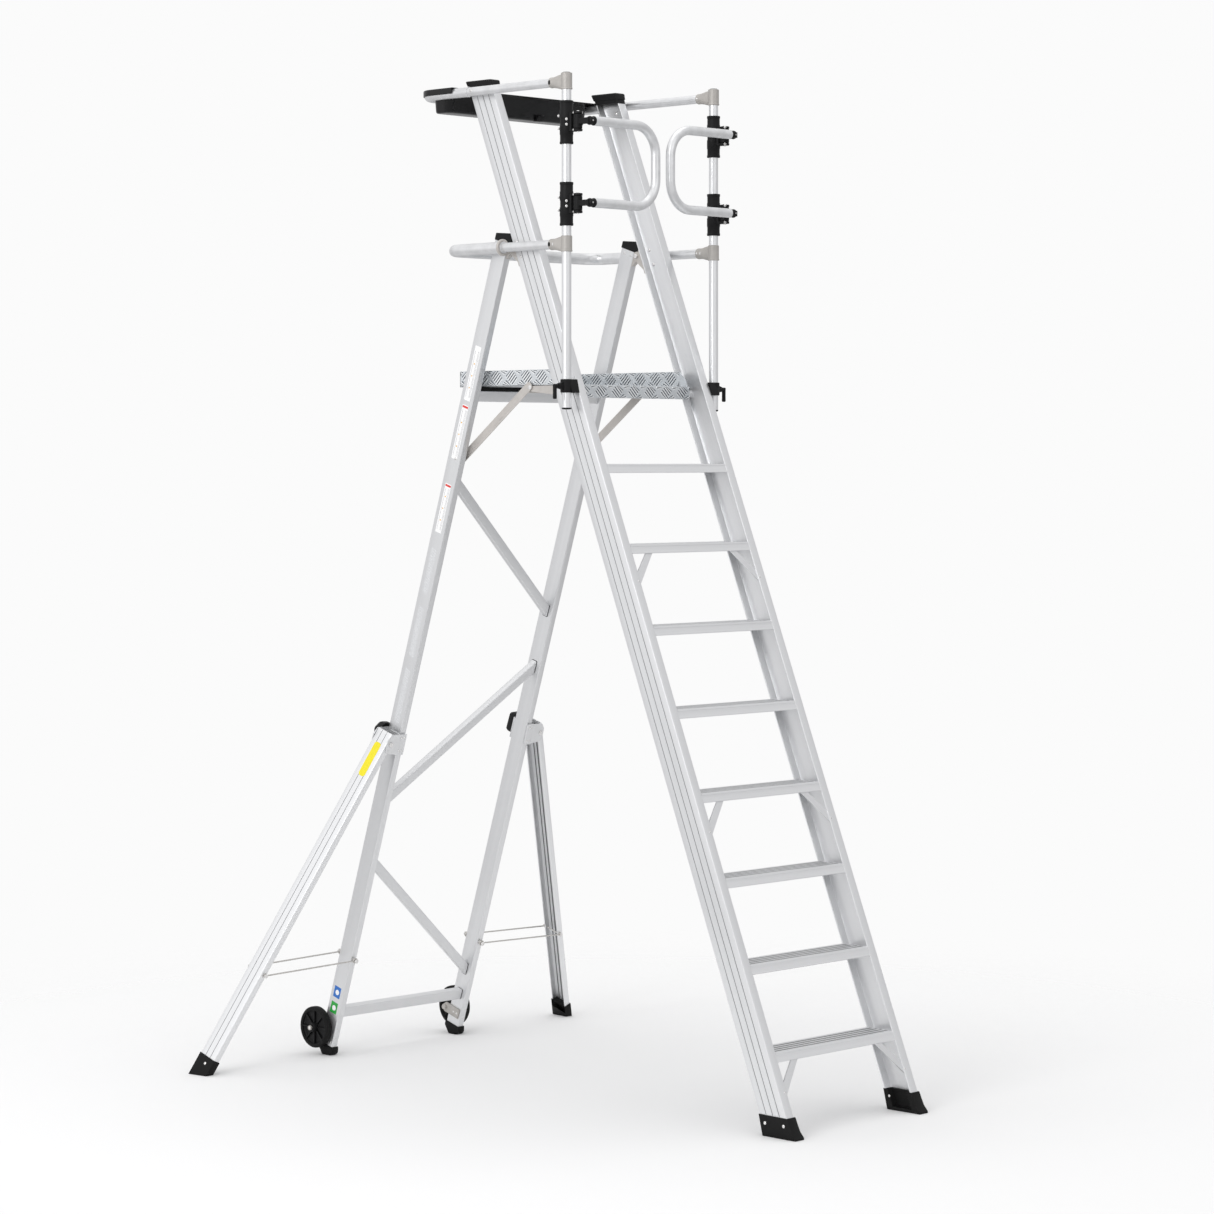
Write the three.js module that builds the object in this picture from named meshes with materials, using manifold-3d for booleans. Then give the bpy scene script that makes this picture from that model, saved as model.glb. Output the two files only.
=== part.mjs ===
// Mobile platform ladder: two channel stiles with eight treads, a folding platform with a gated guardrail,
// and a hinged rear frame on two wheels with a swing-up stabiliser at each side.
// Millimetres. +X is the climber's right, +Y runs from the climbing side to the back, +Z is up.
// Everything is laid out with y = 0 at the stiles' front faces on the floor, then centred over its
// footprint.
import * as THREE from "three";
import { mergeVertices } from "three/addons/utils/BufferGeometryUtils.js";
import Module from "manifold-3d";

const wasm = await Module();
wasm.setup();

// ---------------------------------------------------------------- driving dimensions
const DEG = Math.PI / 180;
const GAP = 0.4; // clearance between parts that only touch

// Front ladder
const STILE_TILT = 21.76 * DEG; // from the vertical
const STILE_IN = 273; // flange edges, from the middle
const STILE_OUT = 306.5; // web's outer face
const STILE_WALL = 3;
const STILE_DEPTH = 105; // measured level
const STILE_BOTTOM = 24;
const STILE_TOP = 3193;
const TREAD_COUNT = 8;
const TREAD_RISE = 250;
const TREAD_FIRST = 243.6; // top of the lowest tread
const TREAD_HIGH = 28;
const BRACED_TREADS = [1, 4, 7];

// Rear frame
const LEG_TILT = 17.7 * DEG; // from the vertical, leaning the other way
const LEG_IN = 279.5;
const LEG_OUT = 304.5;
const LEG_HALF_DEPTH = 30;
const LEG_WALL = 2.5;
const LEG_FLOOR_Y = 2100; // where the leg's middle line meets the floor
const LEG_BOTTOM = 31;
const LEG_TOP = 2847;
// Diagonals from the top one down: where each meets the left and the right leg, measured along the legs
const DIAGONALS = [
  [2034, 1569],
  [921, 1368],
  [702, 248],
];
const DIAGONAL_HIGH = 41;

// Pivots, as [y, z]
const HINGE = [1194, 2681];
const PLATFORM_PIVOT = [975, 2222];
const STRUT_TOP = [1141, 2237];
const STRUT_FOOT = [1450.4, 2010];

// Platform
const DECK_TOP = 2245;
const DECK_FRONT = 944;
const DECK_BACK = 1472;
const DECK_HALF = 264.5;
const SHEET = 2.5;
const KICK_HIGH = 49;
const LIP_HIGH = 42;
const ARM_OUT = 268.2;
const STRUT_IN = 268.8;
const STRUT_OUT = 272.4;

// Guardrail
const POST_X = 340;
const POST_Y = 907;
const POST_R = 15;
const POST_BOTTOM = 2164;
const POST_TOP = 3214;
const RAIL_Z = 3189;
const RAIL_BACK = 1573;
const RAIL_R = 16;
const MID_Z = 2682;
const MID_BACK = 1454;
const MID_R = 19;
const RAIL_BEND = 60;
const TUBE_WALL = 2;
const FITTING_Y = 973;

// Gates
const GATE_Z = [2806, 3061];
const GATE_PIVOT_Y = 857;
const GATE_Y = 813;
const GATE_NEAR_X = 315;
const GATE_FAR_X = 34;
const GATE_BEND = 90;
const SLEEVE_HALF = 68;
const SLEEVE_R = 21.5;

// Stabilisers
const STAB_PIVOT_X = 345;
const STAB_PIVOT_W = 1134.7; // along the leg from the floor
const STAB_SPLAY = 23.2 * DEG;
const STAB_LENGTH = 1231; // pivot to floor
const STAB_HALF_DEPTH = 34.7;
const STAB_WEB = 15; // pivot to the web's outer face
const STAB_FLANGE = 24;
const STAB_WALL = 2.5;
const STAY_FROM_PIVOT = 855;
const STAY_ON_LEG = 358; // along the leg from the floor
const STAY_HALF_WIDTH = 39;
const STAY_R = 2.6;

// Wheels
const WHEEL_X = 320.5;
const WHEEL_Y = 2121;
const WHEEL_Z = 92;
const WHEEL_R = 69.5;
const WHEEL_HALF = 12;
const AXLE_R = 5;

const TAN = Math.tan(STILE_TILT);
const stileFront = (z) => z * TAN;

// ---------------------------------------------------------------- materials
const material = (color, metalness, roughness) =>
  new THREE.MeshStandardMaterial({ color, metalness, roughness });
const ALUMINIUM = material(0xc9cacc, 0.8, 0.42);
const STEEL = material(0xb9b2a8, 0.8, 0.4);
const PLASTIC = material(0x141516, 0, 0.55);
const RUBBER = material(0x121212, 0, 0.75);
const CHECKER = material(0xc4cad0, 0.85, 0.35);

// ---------------------------------------------------------------- solids
const bare = (geometry) => {
  const g = geometry.index ? geometry.toNonIndexed() : geometry.clone();
  return mergeVertices(
    new THREE.BufferGeometry().setAttribute("position", g.getAttribute("position")),
    1e-3,
  );
};

const manifold = (geometry) => {
  const g = bare(geometry);
  return new wasm.Manifold(
    new wasm.Mesh({
      numProp: 3,
      vertProperties: g.attributes.position.array,
      triVerts: new Uint32Array(g.index.array),
    }),
  );
};

const geometryOf = (solid) => {
  const mesh = solid.getMesh();
  const g = new THREE.BufferGeometry();
  g.setAttribute("position", new THREE.BufferAttribute(mesh.vertProperties, 3));
  g.setIndex(new THREE.BufferAttribute(mesh.triVerts, 1));
  return g;
};

const join = (...parts) => geometryOf(parts.map(manifold).reduce((a, b) => a.add(b)));
const cut = (base, ...tools) =>
  geometryOf(tools.map(manifold).reduce((a, b) => a.subtract(b), manifold(base)));

const outline = (points) => new THREE.Shape(points.map(([a, b]) => new THREE.Vector2(a, b)));

const ring = (rOut, rIn) => {
  const s = new THREE.Shape().absarc(0, 0, rOut, 0, 2 * Math.PI, false);
  if (rIn) s.holes.push(new THREE.Path().absarc(0, 0, rIn, 0, 2 * Math.PI, true));
  return s;
};

const extrude = (shape, depth, curveSegments = 10) =>
  new THREE.ExtrudeGeometry(shape, { depth, bevelEnabled: false, curveSegments });

const X = new THREE.Vector3(1, 0, 0);
const Y = new THREE.Vector3(0, 1, 0);
const Z = new THREE.Vector3(0, 0, 1);
const basis = (a, b, c) => new THREE.Matrix4().makeBasis(a, b, c);

// Prisms: the outline's own axes become Y and Z, X and Z, or X and Y.
const prismX = (points, x0, x1) =>
  extrude(outline(points), x1 - x0).applyMatrix4(basis(Y, Z, X)).translate(x0, 0, 0);
const prismY = (points, y0, y1) =>
  extrude(outline(points), y1 - y0)
    .applyMatrix4(basis(X, Z, Y.clone().negate()))
    .translate(0, y1, 0);
const prismZ = (points, z0, z1) => extrude(outline(points), z1 - z0).translate(0, 0, z0);

const block = (x0, x1, y0, y1, z0, z1) =>
  new THREE.BoxGeometry(x1 - x0, y1 - y0, z1 - z0).translate(
    (x0 + x1) / 2,
    (y0 + y1) / 2,
    (z0 + z1) / 2,
  );

// A round bar or tube along X, Y or Z.
const barX = (x0, x1, y, z, r, hole = 0, segments = 6) =>
  extrude(ring(r, hole), x1 - x0, segments).applyMatrix4(basis(Y, Z, X)).translate(x0, y, z);
const barY = (x, y0, y1, z, r, hole = 0, segments = 6) =>
  extrude(ring(r, hole), y1 - y0, segments)
    .applyMatrix4(basis(X, Z, Y.clone().negate()))
    .translate(x, y1, z);
const barZ = (x, y, z0, z1, r, hole = 0, segments = 6) =>
  extrude(ring(r, hole), z1 - z0, segments).translate(x, y, z0);

// Leans a level outline back with the stiles, so that both of its ends stay level.
const LEAN = new THREE.Matrix4().set(1, 0, 0, 0, 0, 1, TAN, 0, 0, 0, 1, 0, 0, 0, 0, 1);
const leaning = (points, z0, z1) => prismZ(points, z0, z1).applyMatrix4(LEAN);

// A bent round tube in one plane: rings of points round each station of a flat path.
const bentTube = (path, planeNormal, rOut, rIn, sides = 10) => {
  const position = [];
  const index = [];
  const rings = path.map((p, i) => {
    const before = path[Math.max(i - 1, 0)];
    const after = path[Math.min(i + 1, path.length - 1)];
    const inward = p.clone().sub(before).normalize();
    const onward = after.clone().sub(p).normalize();
    const along = inward.add(onward).normalize();
    return { p, side: new THREE.Vector3().crossVectors(planeNormal, along) };
  });
  for (const r of [rOut, rIn])
    for (const { p, side } of rings)
      for (let k = 0; k < sides; k++) {
        const a = (2 * Math.PI * k) / sides;
        const v = p
          .clone()
          .addScaledVector(side, r * Math.cos(a))
          .addScaledVector(planeNormal, r * Math.sin(a));
        position.push(v.x, v.y, v.z);
      }
  const inner = path.length * sides;
  const quad = (a, b, c, d) => index.push(a, b, c, a, c, d);
  for (let i = 0; i < path.length - 1; i++)
    for (let k = 0; k < sides; k++) {
      const n = (k + 1) % sides;
      const [a, b, c, d] = [i * sides + k, i * sides + n, (i + 1) * sides + n, (i + 1) * sides + k];
      quad(a, d, c, b);
      quad(inner + a, inner + b, inner + c, inner + d);
    }
  const last = (path.length - 1) * sides;
  for (let k = 0; k < sides; k++) {
    const n = (k + 1) % sides;
    quad(k, n, inner + n, inner + k);
    quad(last + n, last + k, inner + last + k, inner + last + n);
  }
  const g = new THREE.BufferGeometry();
  g.setAttribute("position", new THREE.Float32BufferAttribute(position, 3));
  g.setIndex(index);
  return manifold(g).volume() < 0 ? turned(g) : g;
};

const turned = (geometry) => {
  const g = bare(geometry);
  const i = g.index.array;
  for (let k = 0; k < i.length; k += 3) [i[k + 1], i[k + 2]] = [i[k + 2], i[k + 1]];
  return g;
};

const mirrored = (geometry) => turned(geometry.clone().scale(-1, 1, 1));

// A U of two arms joined by rounded corners: start, corner, corner, end.
const roundedPath = (corners, radius, steps = 4) => {
  const path = [corners[0]];
  for (let i = 1; i < corners.length - 1; i++) {
    const c = corners[i];
    const u = corners[i - 1].clone().sub(c).normalize();
    const v = corners[i + 1].clone().sub(c).normalize();
    const centre = c.clone().addScaledVector(u, radius).addScaledVector(v, radius);
    for (let k = 0; k <= steps; k++) {
      const a = ((Math.PI / 2) * k) / steps;
      path.push(
        centre
          .clone()
          .addScaledVector(v, -radius * Math.cos(a))
          .addScaledVector(u, -radius * Math.sin(a)),
      );
    }
  }
  path.push(corners[corners.length - 1]);
  return path;
};

const vec = (x, y, z) => new THREE.Vector3(x, y, z);

// ---------------------------------------------------------------- the group
const group = new THREE.Group();
group.name = "mobile_platform_ladder";

const add = (name, geometry, mat) => {
  const mesh = new THREE.Mesh(bare(geometry), mat);
  mesh.name = name;
  group.add(mesh);
};

const addPair = (name, rightGeometry, mat) => {
  add(`${name}_r`, rightGeometry, mat);
  add(`${name}_l`, mirrored(rightGeometry), mat);
};

// ---------------------------------------------------------------- stiles, caps and feet
const FLANGE = STILE_WALL / Math.cos(STILE_TILT);

// A straight edge with evenly spaced grooves in it, as [along, level] points from one end to the other.
const grooved = (from, to, level, depth, count, wide) => {
  const half = (Math.sign(to - from) * wide) / 2;
  const points = [[from, level]];
  for (let k = 1; k <= count; k++) {
    const at = from + ((to - from) * k) / (count + 1);
    points.push(
      [at - half, level],
      [at - half, level - depth],
      [at + half, level - depth],
      [at + half, level],
    );
  }
  points.push([to, level]);
  return points;
};
const swapped = (points) => points.map(([a, b]) => [b, a]);

const stileSection = [
  [STILE_IN, 0],
  ...swapped(grooved(0, STILE_DEPTH, STILE_OUT, 0.8, 3, 1.6)),
  [STILE_IN, STILE_DEPTH],
  [STILE_IN, STILE_DEPTH - FLANGE],
  [STILE_OUT - STILE_WALL, STILE_DEPTH - FLANGE],
  [STILE_OUT - STILE_WALL, FLANGE],
  [STILE_IN, FLANGE],
];
const [PIVOT_Y, PIVOT_Z] = PLATFORM_PIVOT;
const pivotBush = barX(STILE_IN + 3, STILE_OUT - 1, PIVOT_Y, PIVOT_Z, 11.5, 6.4);
addPair("stile", join(leaning(stileSection, STILE_BOTTOM, STILE_TOP), pivotBush), ALUMINIUM);

const rectangle = (a0, a1, b0, b1) => [
  [a0, b0],
  [a1, b0],
  [a1, b1],
  [a0, b1],
];
const capBody = leaning(
  rectangle(STILE_IN - 2, STILE_OUT + 2, -2, STILE_DEPTH + 2),
  STILE_TOP + GAP,
  STILE_TOP + 35,
);
addPair("stile_cap", capBody, PLASTIC);

// The foot boxes in the stile's end and flares forward to a toe.
const footProfile = [
  [-13.5, 0],
  [116.5, 0],
  [132, 63],
  [20, 62],
  [11, 42],
  [1, 22],
  [-13.5, 6],
];
const footBlock = prismX(footProfile, STILE_IN - 3, STILE_OUT + 3);
const footSlot = leaning(
  [
    [STILE_IN - 10, -GAP],
    [STILE_OUT + GAP, -GAP],
    [STILE_OUT + GAP, STILE_DEPTH + GAP],
    [STILE_IN - 10, STILE_DEPTH + GAP],
    [STILE_IN - 10, STILE_DEPTH - FLANGE - GAP],
    [STILE_OUT - STILE_WALL - GAP, STILE_DEPTH - FLANGE - GAP],
    [STILE_OUT - STILE_WALL - GAP, FLANGE + GAP],
    [STILE_IN - 10, FLANGE + GAP],
  ],
  STILE_BOTTOM - GAP,
  90,
);
const footPocket = leaning(rectangle(STILE_IN - 10, 292, 16, 90), 10, 90);
addPair("front_foot", cut(footBlock, footSlot, footPocket), RUBBER);

// ---------------------------------------------------------------- treads
// Each tread is a ribbed hollow box that runs inside the channels, with a nose and a tail that fill the
// width between the flange edges. Every third one is braced to the stiles.
const lean = (points) => points.map(([y, z]) => [y + stileFront(z), z]);

const tread = (z) => {
  const y0 = FLANGE + GAP;
  const y1 = STILE_DEPTH - FLANGE - GAP;
  const bottom = z - TREAD_HIGH;
  const reach = STILE_OUT - STILE_WALL - GAP;
  const middle = prismX(
    lean([[y0, bottom], [y1, bottom], ...grooved(y1, y0, z, 1.5, 6, 2.4)]),
    -reach,
    reach,
  );
  const nose = prismX(lean(rectangle(0, y0 + 1, bottom, z)), GAP - STILE_IN, STILE_IN - GAP);
  const tail = prismX(lean(rectangle(y1 - 1, STILE_DEPTH, bottom, z)), GAP - STILE_IN, STILE_IN - GAP);
  const hollow = prismX(lean(rectangle(y0 + 3, y1 - 3, bottom + 3, z - 4)), -reach - 5, reach + 5);
  return cut(join(middle, nose, tail), hollow);
};

// A flat bar behind the front flange, from the tread's underside down to the stile.
const brace = (z) => {
  const under = z - TREAD_HIGH + 1;
  const front = FLANGE + GAP;
  const bar = prismY(
    [
      [178, under],
      [212, under],
      [STILE_IN + 14, z - 100],
      [STILE_IN + 14, z - 138],
    ],
    0,
    4,
  );
  const place = new THREE.Matrix4()
    .set(1, 0, 0, 0, 0, 1, TAN, front, 0, 0, 1, 0, 0, 0, 0, 1);
  return bar.applyMatrix4(place);
};

for (let k = 0; k < TREAD_COUNT; k++) {
  const z = TREAD_FIRST + k * TREAD_RISE;
  const braced = BRACED_TREADS.includes(k + 1);
  const body = braced ? join(tread(z), brace(z), mirrored(brace(z))) : tread(z);
  add(`tread_${k + 1}`, body, ALUMINIUM);
}

// ---------------------------------------------------------------- top hinge, front leaf
// Two ears on the stile's rear flange carry the pin; its outer end holds the mid rail's ring.
const [HINGE_Y, HINGE_Z] = HINGE;
const leafBack = STILE_DEPTH + GAP;
const leaf = leaning(rectangle(STILE_IN + 1, STILE_OUT - 1, leafBack, leafBack + 4), 2622, 2700);
const ear = (x0) =>
  prismX(
    [
      [stileFront(2640) + leafBack + 1, 2640],
      [HINGE_Y + 9, HINGE_Z - 9],
      [HINGE_Y + 10, HINGE_Z + 7],
      [HINGE_Y, HINGE_Z + 12],
      [stileFront(2690) + leafBack + 1, 2692],
    ],
    x0,
    x0 + 3,
  );
const hingePin = barX(STILE_IN + 1, POST_X - 20, HINGE_Y, HINGE_Z, 5);
const railRing = barY(POST_X, HINGE_Y - 4, HINGE_Y + 4, MID_Z, 27, MID_R + GAP, 10);
addPair("top_hinge", join(leaf, ear(STILE_IN + 2), ear(STILE_OUT - 7), hingePin, railRing), STEEL);

// ---------------------------------------------------------------- guardrail posts and rails
addPair("guard_post", barZ(POST_X, POST_Y, POST_BOTTOM, POST_TOP, POST_R, POST_R - TUBE_WALL), ALUMINIUM);

const loop = (z, back) => [
  vec(-POST_X, HINGE_Y + 156, z),
  vec(-POST_X, back, z),
  vec(POST_X, back, z),
  vec(POST_X, HINGE_Y + 156, z),
];
const upperLoop = bentTube(roundedPath(loop(RAIL_Z, RAIL_BACK), RAIL_BEND), Z, RAIL_R, RAIL_R - TUBE_WALL);
const upperArm = (s) =>
  barY(s * POST_X, FITTING_Y - 22, HINGE_Y + 160, RAIL_Z, RAIL_R - 1.8, RAIL_R - 3.8);
const spacerFrom = STILE_OUT + 2 + GAP;
const upperBolt = barX(spacerFrom, POST_X - 11, 1328, RAIL_Z, 8);
const upperBoltHead = barX(spacerFrom, spacerFrom + 5, 1328, RAIL_Z, 11);
add(
  "upper_rail",
  join(
    upperLoop,
    upperArm(1),
    upperArm(-1),
    upperBolt,
    mirrored(upperBolt),
    upperBoltHead,
    mirrored(upperBoltHead),
  ),
  ALUMINIUM,
);

const midCorners = [
  vec(-POST_X, HINGE_Y - 6, MID_Z),
  vec(-POST_X, MID_BACK, MID_Z),
  vec(POST_X, MID_BACK, MID_Z),
  vec(POST_X, HINGE_Y - 6, MID_Z),
];
const midLoop = bentTube(roundedPath(midCorners, RAIL_BEND + 4), Z, MID_R, MID_R - 4.5);
const midArm = (s) => barY(s * POST_X, FITTING_Y - 22, HINGE_Y + 60, MID_Z, POST_R, POST_R - TUBE_WALL);
add("mid_rail", join(midLoop, midArm(1), midArm(-1)), ALUMINIUM);

// Cast tee: a sleeve round the post and a tapering socket for the rail.
const fitting = (z, tubeR, top) => {
  const body = join(
    barZ(POST_X, POST_Y, z - 25, top, 17.8),
    prismX(
      [
        [POST_Y, z - 24],
        [POST_Y + 22, z - 24],
        [FITTING_Y, z - tubeR - 3],
        [FITTING_Y, z + tubeR + 3],
        [POST_Y + 30, z + 24],
        [POST_Y, z + 24],
      ],
      POST_X - 11,
      POST_X + 11,
    ),
    barY(POST_X, POST_Y + 8, FITTING_Y, z, tubeR + 2.8),
  );
  return cut(
    body,
    barZ(POST_X, POST_Y, z - 40, top + 20, POST_R + GAP),
    barY(POST_X, FITTING_Y - 24, FITTING_Y + 20, z, tubeR + GAP),
  );
};
addPair("upper_fitting", fitting(RAIL_Z, RAIL_R - 1.8, POST_TOP + 2), STEEL);
addPair("mid_fitting", fitting(MID_Z, POST_R, MID_Z + 25), STEEL);

// ---------------------------------------------------------------- tool tray between the rear rails
const TRAY_FRONT = 1450;
const TRAY_TOP = RAIL_Z + RAIL_R + 0.5;
const RIM = 2;
const bendX = POST_X - RAIL_BEND;
const bendY = RAIL_BACK - RAIL_BEND;

// The plan of a tray that keeps the same distance from the rail's middle line all the way round.
const trayPlan = (offset, front, z0, z1) => {
  const corner = RAIL_BEND + offset;
  const points = [
    [-bendX - corner, front],
    [bendX + corner, front],
  ];
  for (let k = 0; k <= 5; k++) {
    const a = 18 * k * DEG;
    points.push([bendX + corner * Math.cos(a), bendY + corner * Math.sin(a)]);
  }
  for (let k = 5; k >= 0; k--) {
    const a = 18 * k * DEG;
    points.push([-bendX - corner * Math.cos(a), bendY + corner * Math.sin(a)]);
  }
  return prismZ(points, z0, z1);
};
const traySide = (inset, z0, z1) =>
  prismX(
    [
      [TRAY_FRONT + inset, z1],
      [TRAY_FRONT + 20 + inset, z0],
      [RAIL_BACK - 30 - inset, z0],
      [RAIL_BACK - 16 - inset, z1],
    ],
    -400,
    400,
  );
const both = (a, b) => geometryOf(manifold(a).intersect(manifold(b)));
const trayTub = both(
  trayPlan(-17, TRAY_FRONT - 10, TRAY_TOP - 72, TRAY_TOP + 1),
  traySide(0, TRAY_TOP - 72, TRAY_TOP + 1),
);
const trayHollow = both(
  trayPlan(-20, TRAY_FRONT - 10, TRAY_TOP - 69, TRAY_TOP + 9),
  traySide(3, TRAY_TOP - 69, TRAY_TOP + 9),
);
const RIM_FRONT = 1412;
const trayRim = cut(
  trayPlan(20, RIM_FRONT, RAIL_Z - 2, TRAY_TOP + RIM),
  trayPlan(RAIL_R + 1, RIM_FRONT - 5, RAIL_Z - 9, TRAY_TOP),
  trayPlan(-20, TRAY_FRONT + 3, TRAY_TOP - 5, TRAY_TOP + 9),
  block(-POST_X + 17, POST_X - 17, RIM_FRONT - 5, TRAY_FRONT, TRAY_TOP - 5, TRAY_TOP + 9),
);
add("tool_tray", cut(join(trayRim, trayTub), trayHollow), PLASTIC);

// ---------------------------------------------------------------- gates
const gateSleeve = (z) => {
  const lug = (z0) =>
    join(
      block(POST_X - 9, POST_X + 9, GATE_PIVOT_Y, POST_Y - 18, z0, z0 + 8),
      barZ(POST_X, GATE_PIVOT_Y, z0, z0 + 8, 14),
    );
  const sleeve = join(
    barZ(POST_X, POST_Y, z - SLEEVE_HALF, z + SLEEVE_HALF, SLEEVE_R),
    block(POST_X - 9, POST_X + 9, POST_Y - 32, POST_Y - 15, z - 30, z + 30),
    lug(z - 31),
    lug(z + 23),
    barZ(POST_X, GATE_PIVOT_Y, z - 34, z + 34, 5),
  );
  return cut(sleeve, barZ(POST_X, POST_Y, z - 90, z + 90, POST_R + GAP));
};
addPair("gate_sleeve_low", gateSleeve(GATE_Z[0]), PLASTIC);
addPair("gate_sleeve_high", gateSleeve(GATE_Z[1]), PLASTIC);

const gateArm = (z) =>
  cut(
    join(
      barZ(POST_X, GATE_PIVOT_Y, z - 22.4, z + 22.4, 14),
      prismZ(
        [
          [POST_X - 12, GATE_Y],
          [POST_X + 6, GATE_Y - 9],
          [POST_X + 9, GATE_PIVOT_Y],
          [POST_X - 9, GATE_PIVOT_Y],
        ],
        z - 10,
        z + 10,
      ),
      barX(GATE_NEAR_X - 2, POST_X - 4, GATE_Y, z, 14.5),
    ),
    barZ(POST_X, GATE_PIVOT_Y, z - 40, z + 40, 5.3),
  );
const gateCorners = [
  vec(GATE_NEAR_X, GATE_Y, GATE_Z[0]),
  vec(GATE_FAR_X, GATE_Y, GATE_Z[0]),
  vec(GATE_FAR_X, GATE_Y, GATE_Z[1]),
  vec(GATE_NEAR_X, GATE_Y, GATE_Z[1]),
];
const gateTube = bentTube(roundedPath(gateCorners, GATE_BEND, 5), Y, POST_R, POST_R - TUBE_WALL);
const drainHole = barZ(GATE_NEAR_X - 60, GATE_Y, GATE_Z[0] - 20, GATE_Z[0], 2.5, 0, 4);
const gate = cut(join(gateTube, gateArm(GATE_Z[0]), gateArm(GATE_Z[1])), drainHole);
addPair("gate", gate, ALUMINIUM);

// ---------------------------------------------------------------- post clamps and their handles
const CLAMP_Z = 2237;
const clampBody = join(
  prismX(
    [
      [stileFront(CLAMP_Z) - 11, CLAMP_Z - 20.5],
      [POST_Y + 18, CLAMP_Z - 20.5],
      [POST_Y + 18, CLAMP_Z + 21.5],
      [stileFront(CLAMP_Z) - 1, CLAMP_Z + 21.5],
    ],
    STILE_OUT + GAP,
    POST_X,
  ),
  barZ(POST_X, POST_Y, CLAMP_Z - 20.5, CLAMP_Z + 21.5, 19.5),
  barX(POST_X, POST_X + 38, POST_Y + 1, CLAMP_Z, 8),
  prismY(
    [
      [POST_X + 10, CLAMP_Z - 15],
      [POST_X + 34, CLAMP_Z - 7],
      [POST_X + 34, CLAMP_Z + 7],
      [POST_X + 10, CLAMP_Z + 16],
    ],
    POST_Y - 6,
    POST_Y + 8,
  ),
);
const clamp = cut(
  clampBody,
  barZ(POST_X, POST_Y, CLAMP_Z - 40, CLAMP_Z + 40, POST_R + GAP),
  barX(POST_X + 14, POST_X + 40, POST_Y + 1, CLAMP_Z, 4.3),
);
addPair("post_clamp", clamp, PLASTIC);

const GRIP_X = 390.7;
const handle = join(
  barX(POST_X + 18, GRIP_X, POST_Y + 1, CLAMP_Z, 4),
  barX(POST_X + 38.4, GRIP_X, POST_Y + 1, CLAMP_Z, 6),
  barZ(GRIP_X, POST_Y + 1, CLAMP_Z - 41, CLAMP_Z + 6, 6.5),
);
addPair("clamp_handle", handle, PLASTIC);

// ---------------------------------------------------------------- platform
const deck = join(
  block(-DECK_HALF, DECK_HALF, DECK_FRONT, DECK_BACK, DECK_TOP - SHEET, DECK_TOP),
  block(-DECK_HALF, DECK_HALF, DECK_FRONT, DECK_FRONT + SHEET, DECK_TOP - LIP_HIGH, DECK_TOP),
  block(-DECK_HALF, DECK_HALF, DECK_BACK - SHEET, DECK_BACK, DECK_TOP - SHEET, DECK_TOP + KICK_HIGH),
);
const kickboard = prismX(
  [
    [DECK_FRONT + 6, DECK_TOP - SHEET],
    [DECK_BACK, DECK_TOP - SHEET],
    [DECK_BACK, DECK_TOP + KICK_HIGH],
    [DECK_FRONT + 42, DECK_TOP + KICK_HIGH],
    [DECK_FRONT + 14, DECK_TOP + 20],
  ],
  DECK_HALF - SHEET,
  DECK_HALF,
);
const stiffener = block(-DECK_HALF + 30, DECK_HALF - 30, 1180, 1200, DECK_TOP - 24, DECK_TOP - 1);
const [STRUT_Y, STRUT_Z] = STRUT_TOP;
const arm = join(
  prismX(
    [
      [PIVOT_Y - 12, PIVOT_Z - 12],
      [PIVOT_Y + 20, PIVOT_Z - 12],
      [STRUT_Y + 12, STRUT_Z - 11],
      [STRUT_Y + 14, STRUT_Z + 4],
      [STRUT_Y + 6, DECK_TOP - 1],
      [PIVOT_Y - 12, DECK_TOP - 1],
    ],
    DECK_HALF - 1,
    ARM_OUT,
  ),
  barX(DECK_HALF, STILE_OUT - STILE_WALL - GAP, PIVOT_Y, PIVOT_Z, 6),
);
add("platform", join(deck, kickboard, mirrored(kickboard), stiffener, arm, mirrored(arm)), CHECKER);

// Folding struts from the platform's arms down to the rear legs.
const [FOOT_Y, FOOT_Z] = STRUT_FOOT;
const strutAngle = Math.atan2(STRUT_Z - FOOT_Z, STRUT_Y - FOOT_Y);
const strutLength = Math.hypot(STRUT_Z - FOOT_Z, STRUT_Y - FOOT_Y);
const strutBar = prismX(
  [
    [-12, -10],
    [-6, -15],
    [strutLength + 4, -21],
    [strutLength + 11, -14],
    [strutLength + 9, 5],
    [strutLength + 5, 8],
    [-6, 13],
    [-12, 8],
  ],
  STRUT_IN,
  STRUT_OUT,
)
  .applyMatrix4(new THREE.Matrix4().makeRotationX(strutAngle))
  .translate(0, FOOT_Y, FOOT_Z);
const strut = cut(
  strutBar,
  barX(260, 280, FOOT_Y, FOOT_Z, 5.4),
  barX(260, 280, STRUT_Y, STRUT_Z, 5.5),
);
addPair("strut", strut, STEEL);

// ---------------------------------------------------------------- rear frame
// Laid out upright, x across, y through the depth of the legs, z along them, then leaned into place.
const REAR = new THREE.Matrix4().makeRotationX(LEG_TILT).setPosition(0, LEG_FLOOR_Y, 0);
const rear = (geometry) => geometry.applyMatrix4(REAR);
const REAR_INVERSE = REAR.clone().invert();
const inRear = (y, z) => vec(0, y, z).applyMatrix4(REAR_INVERSE);

const hingeIn = inRear(...HINGE);
const strutIn = inRear(...STRUT_FOOT);
const wheelIn = inRear(WHEEL_Y, WHEEL_Z);

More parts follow.
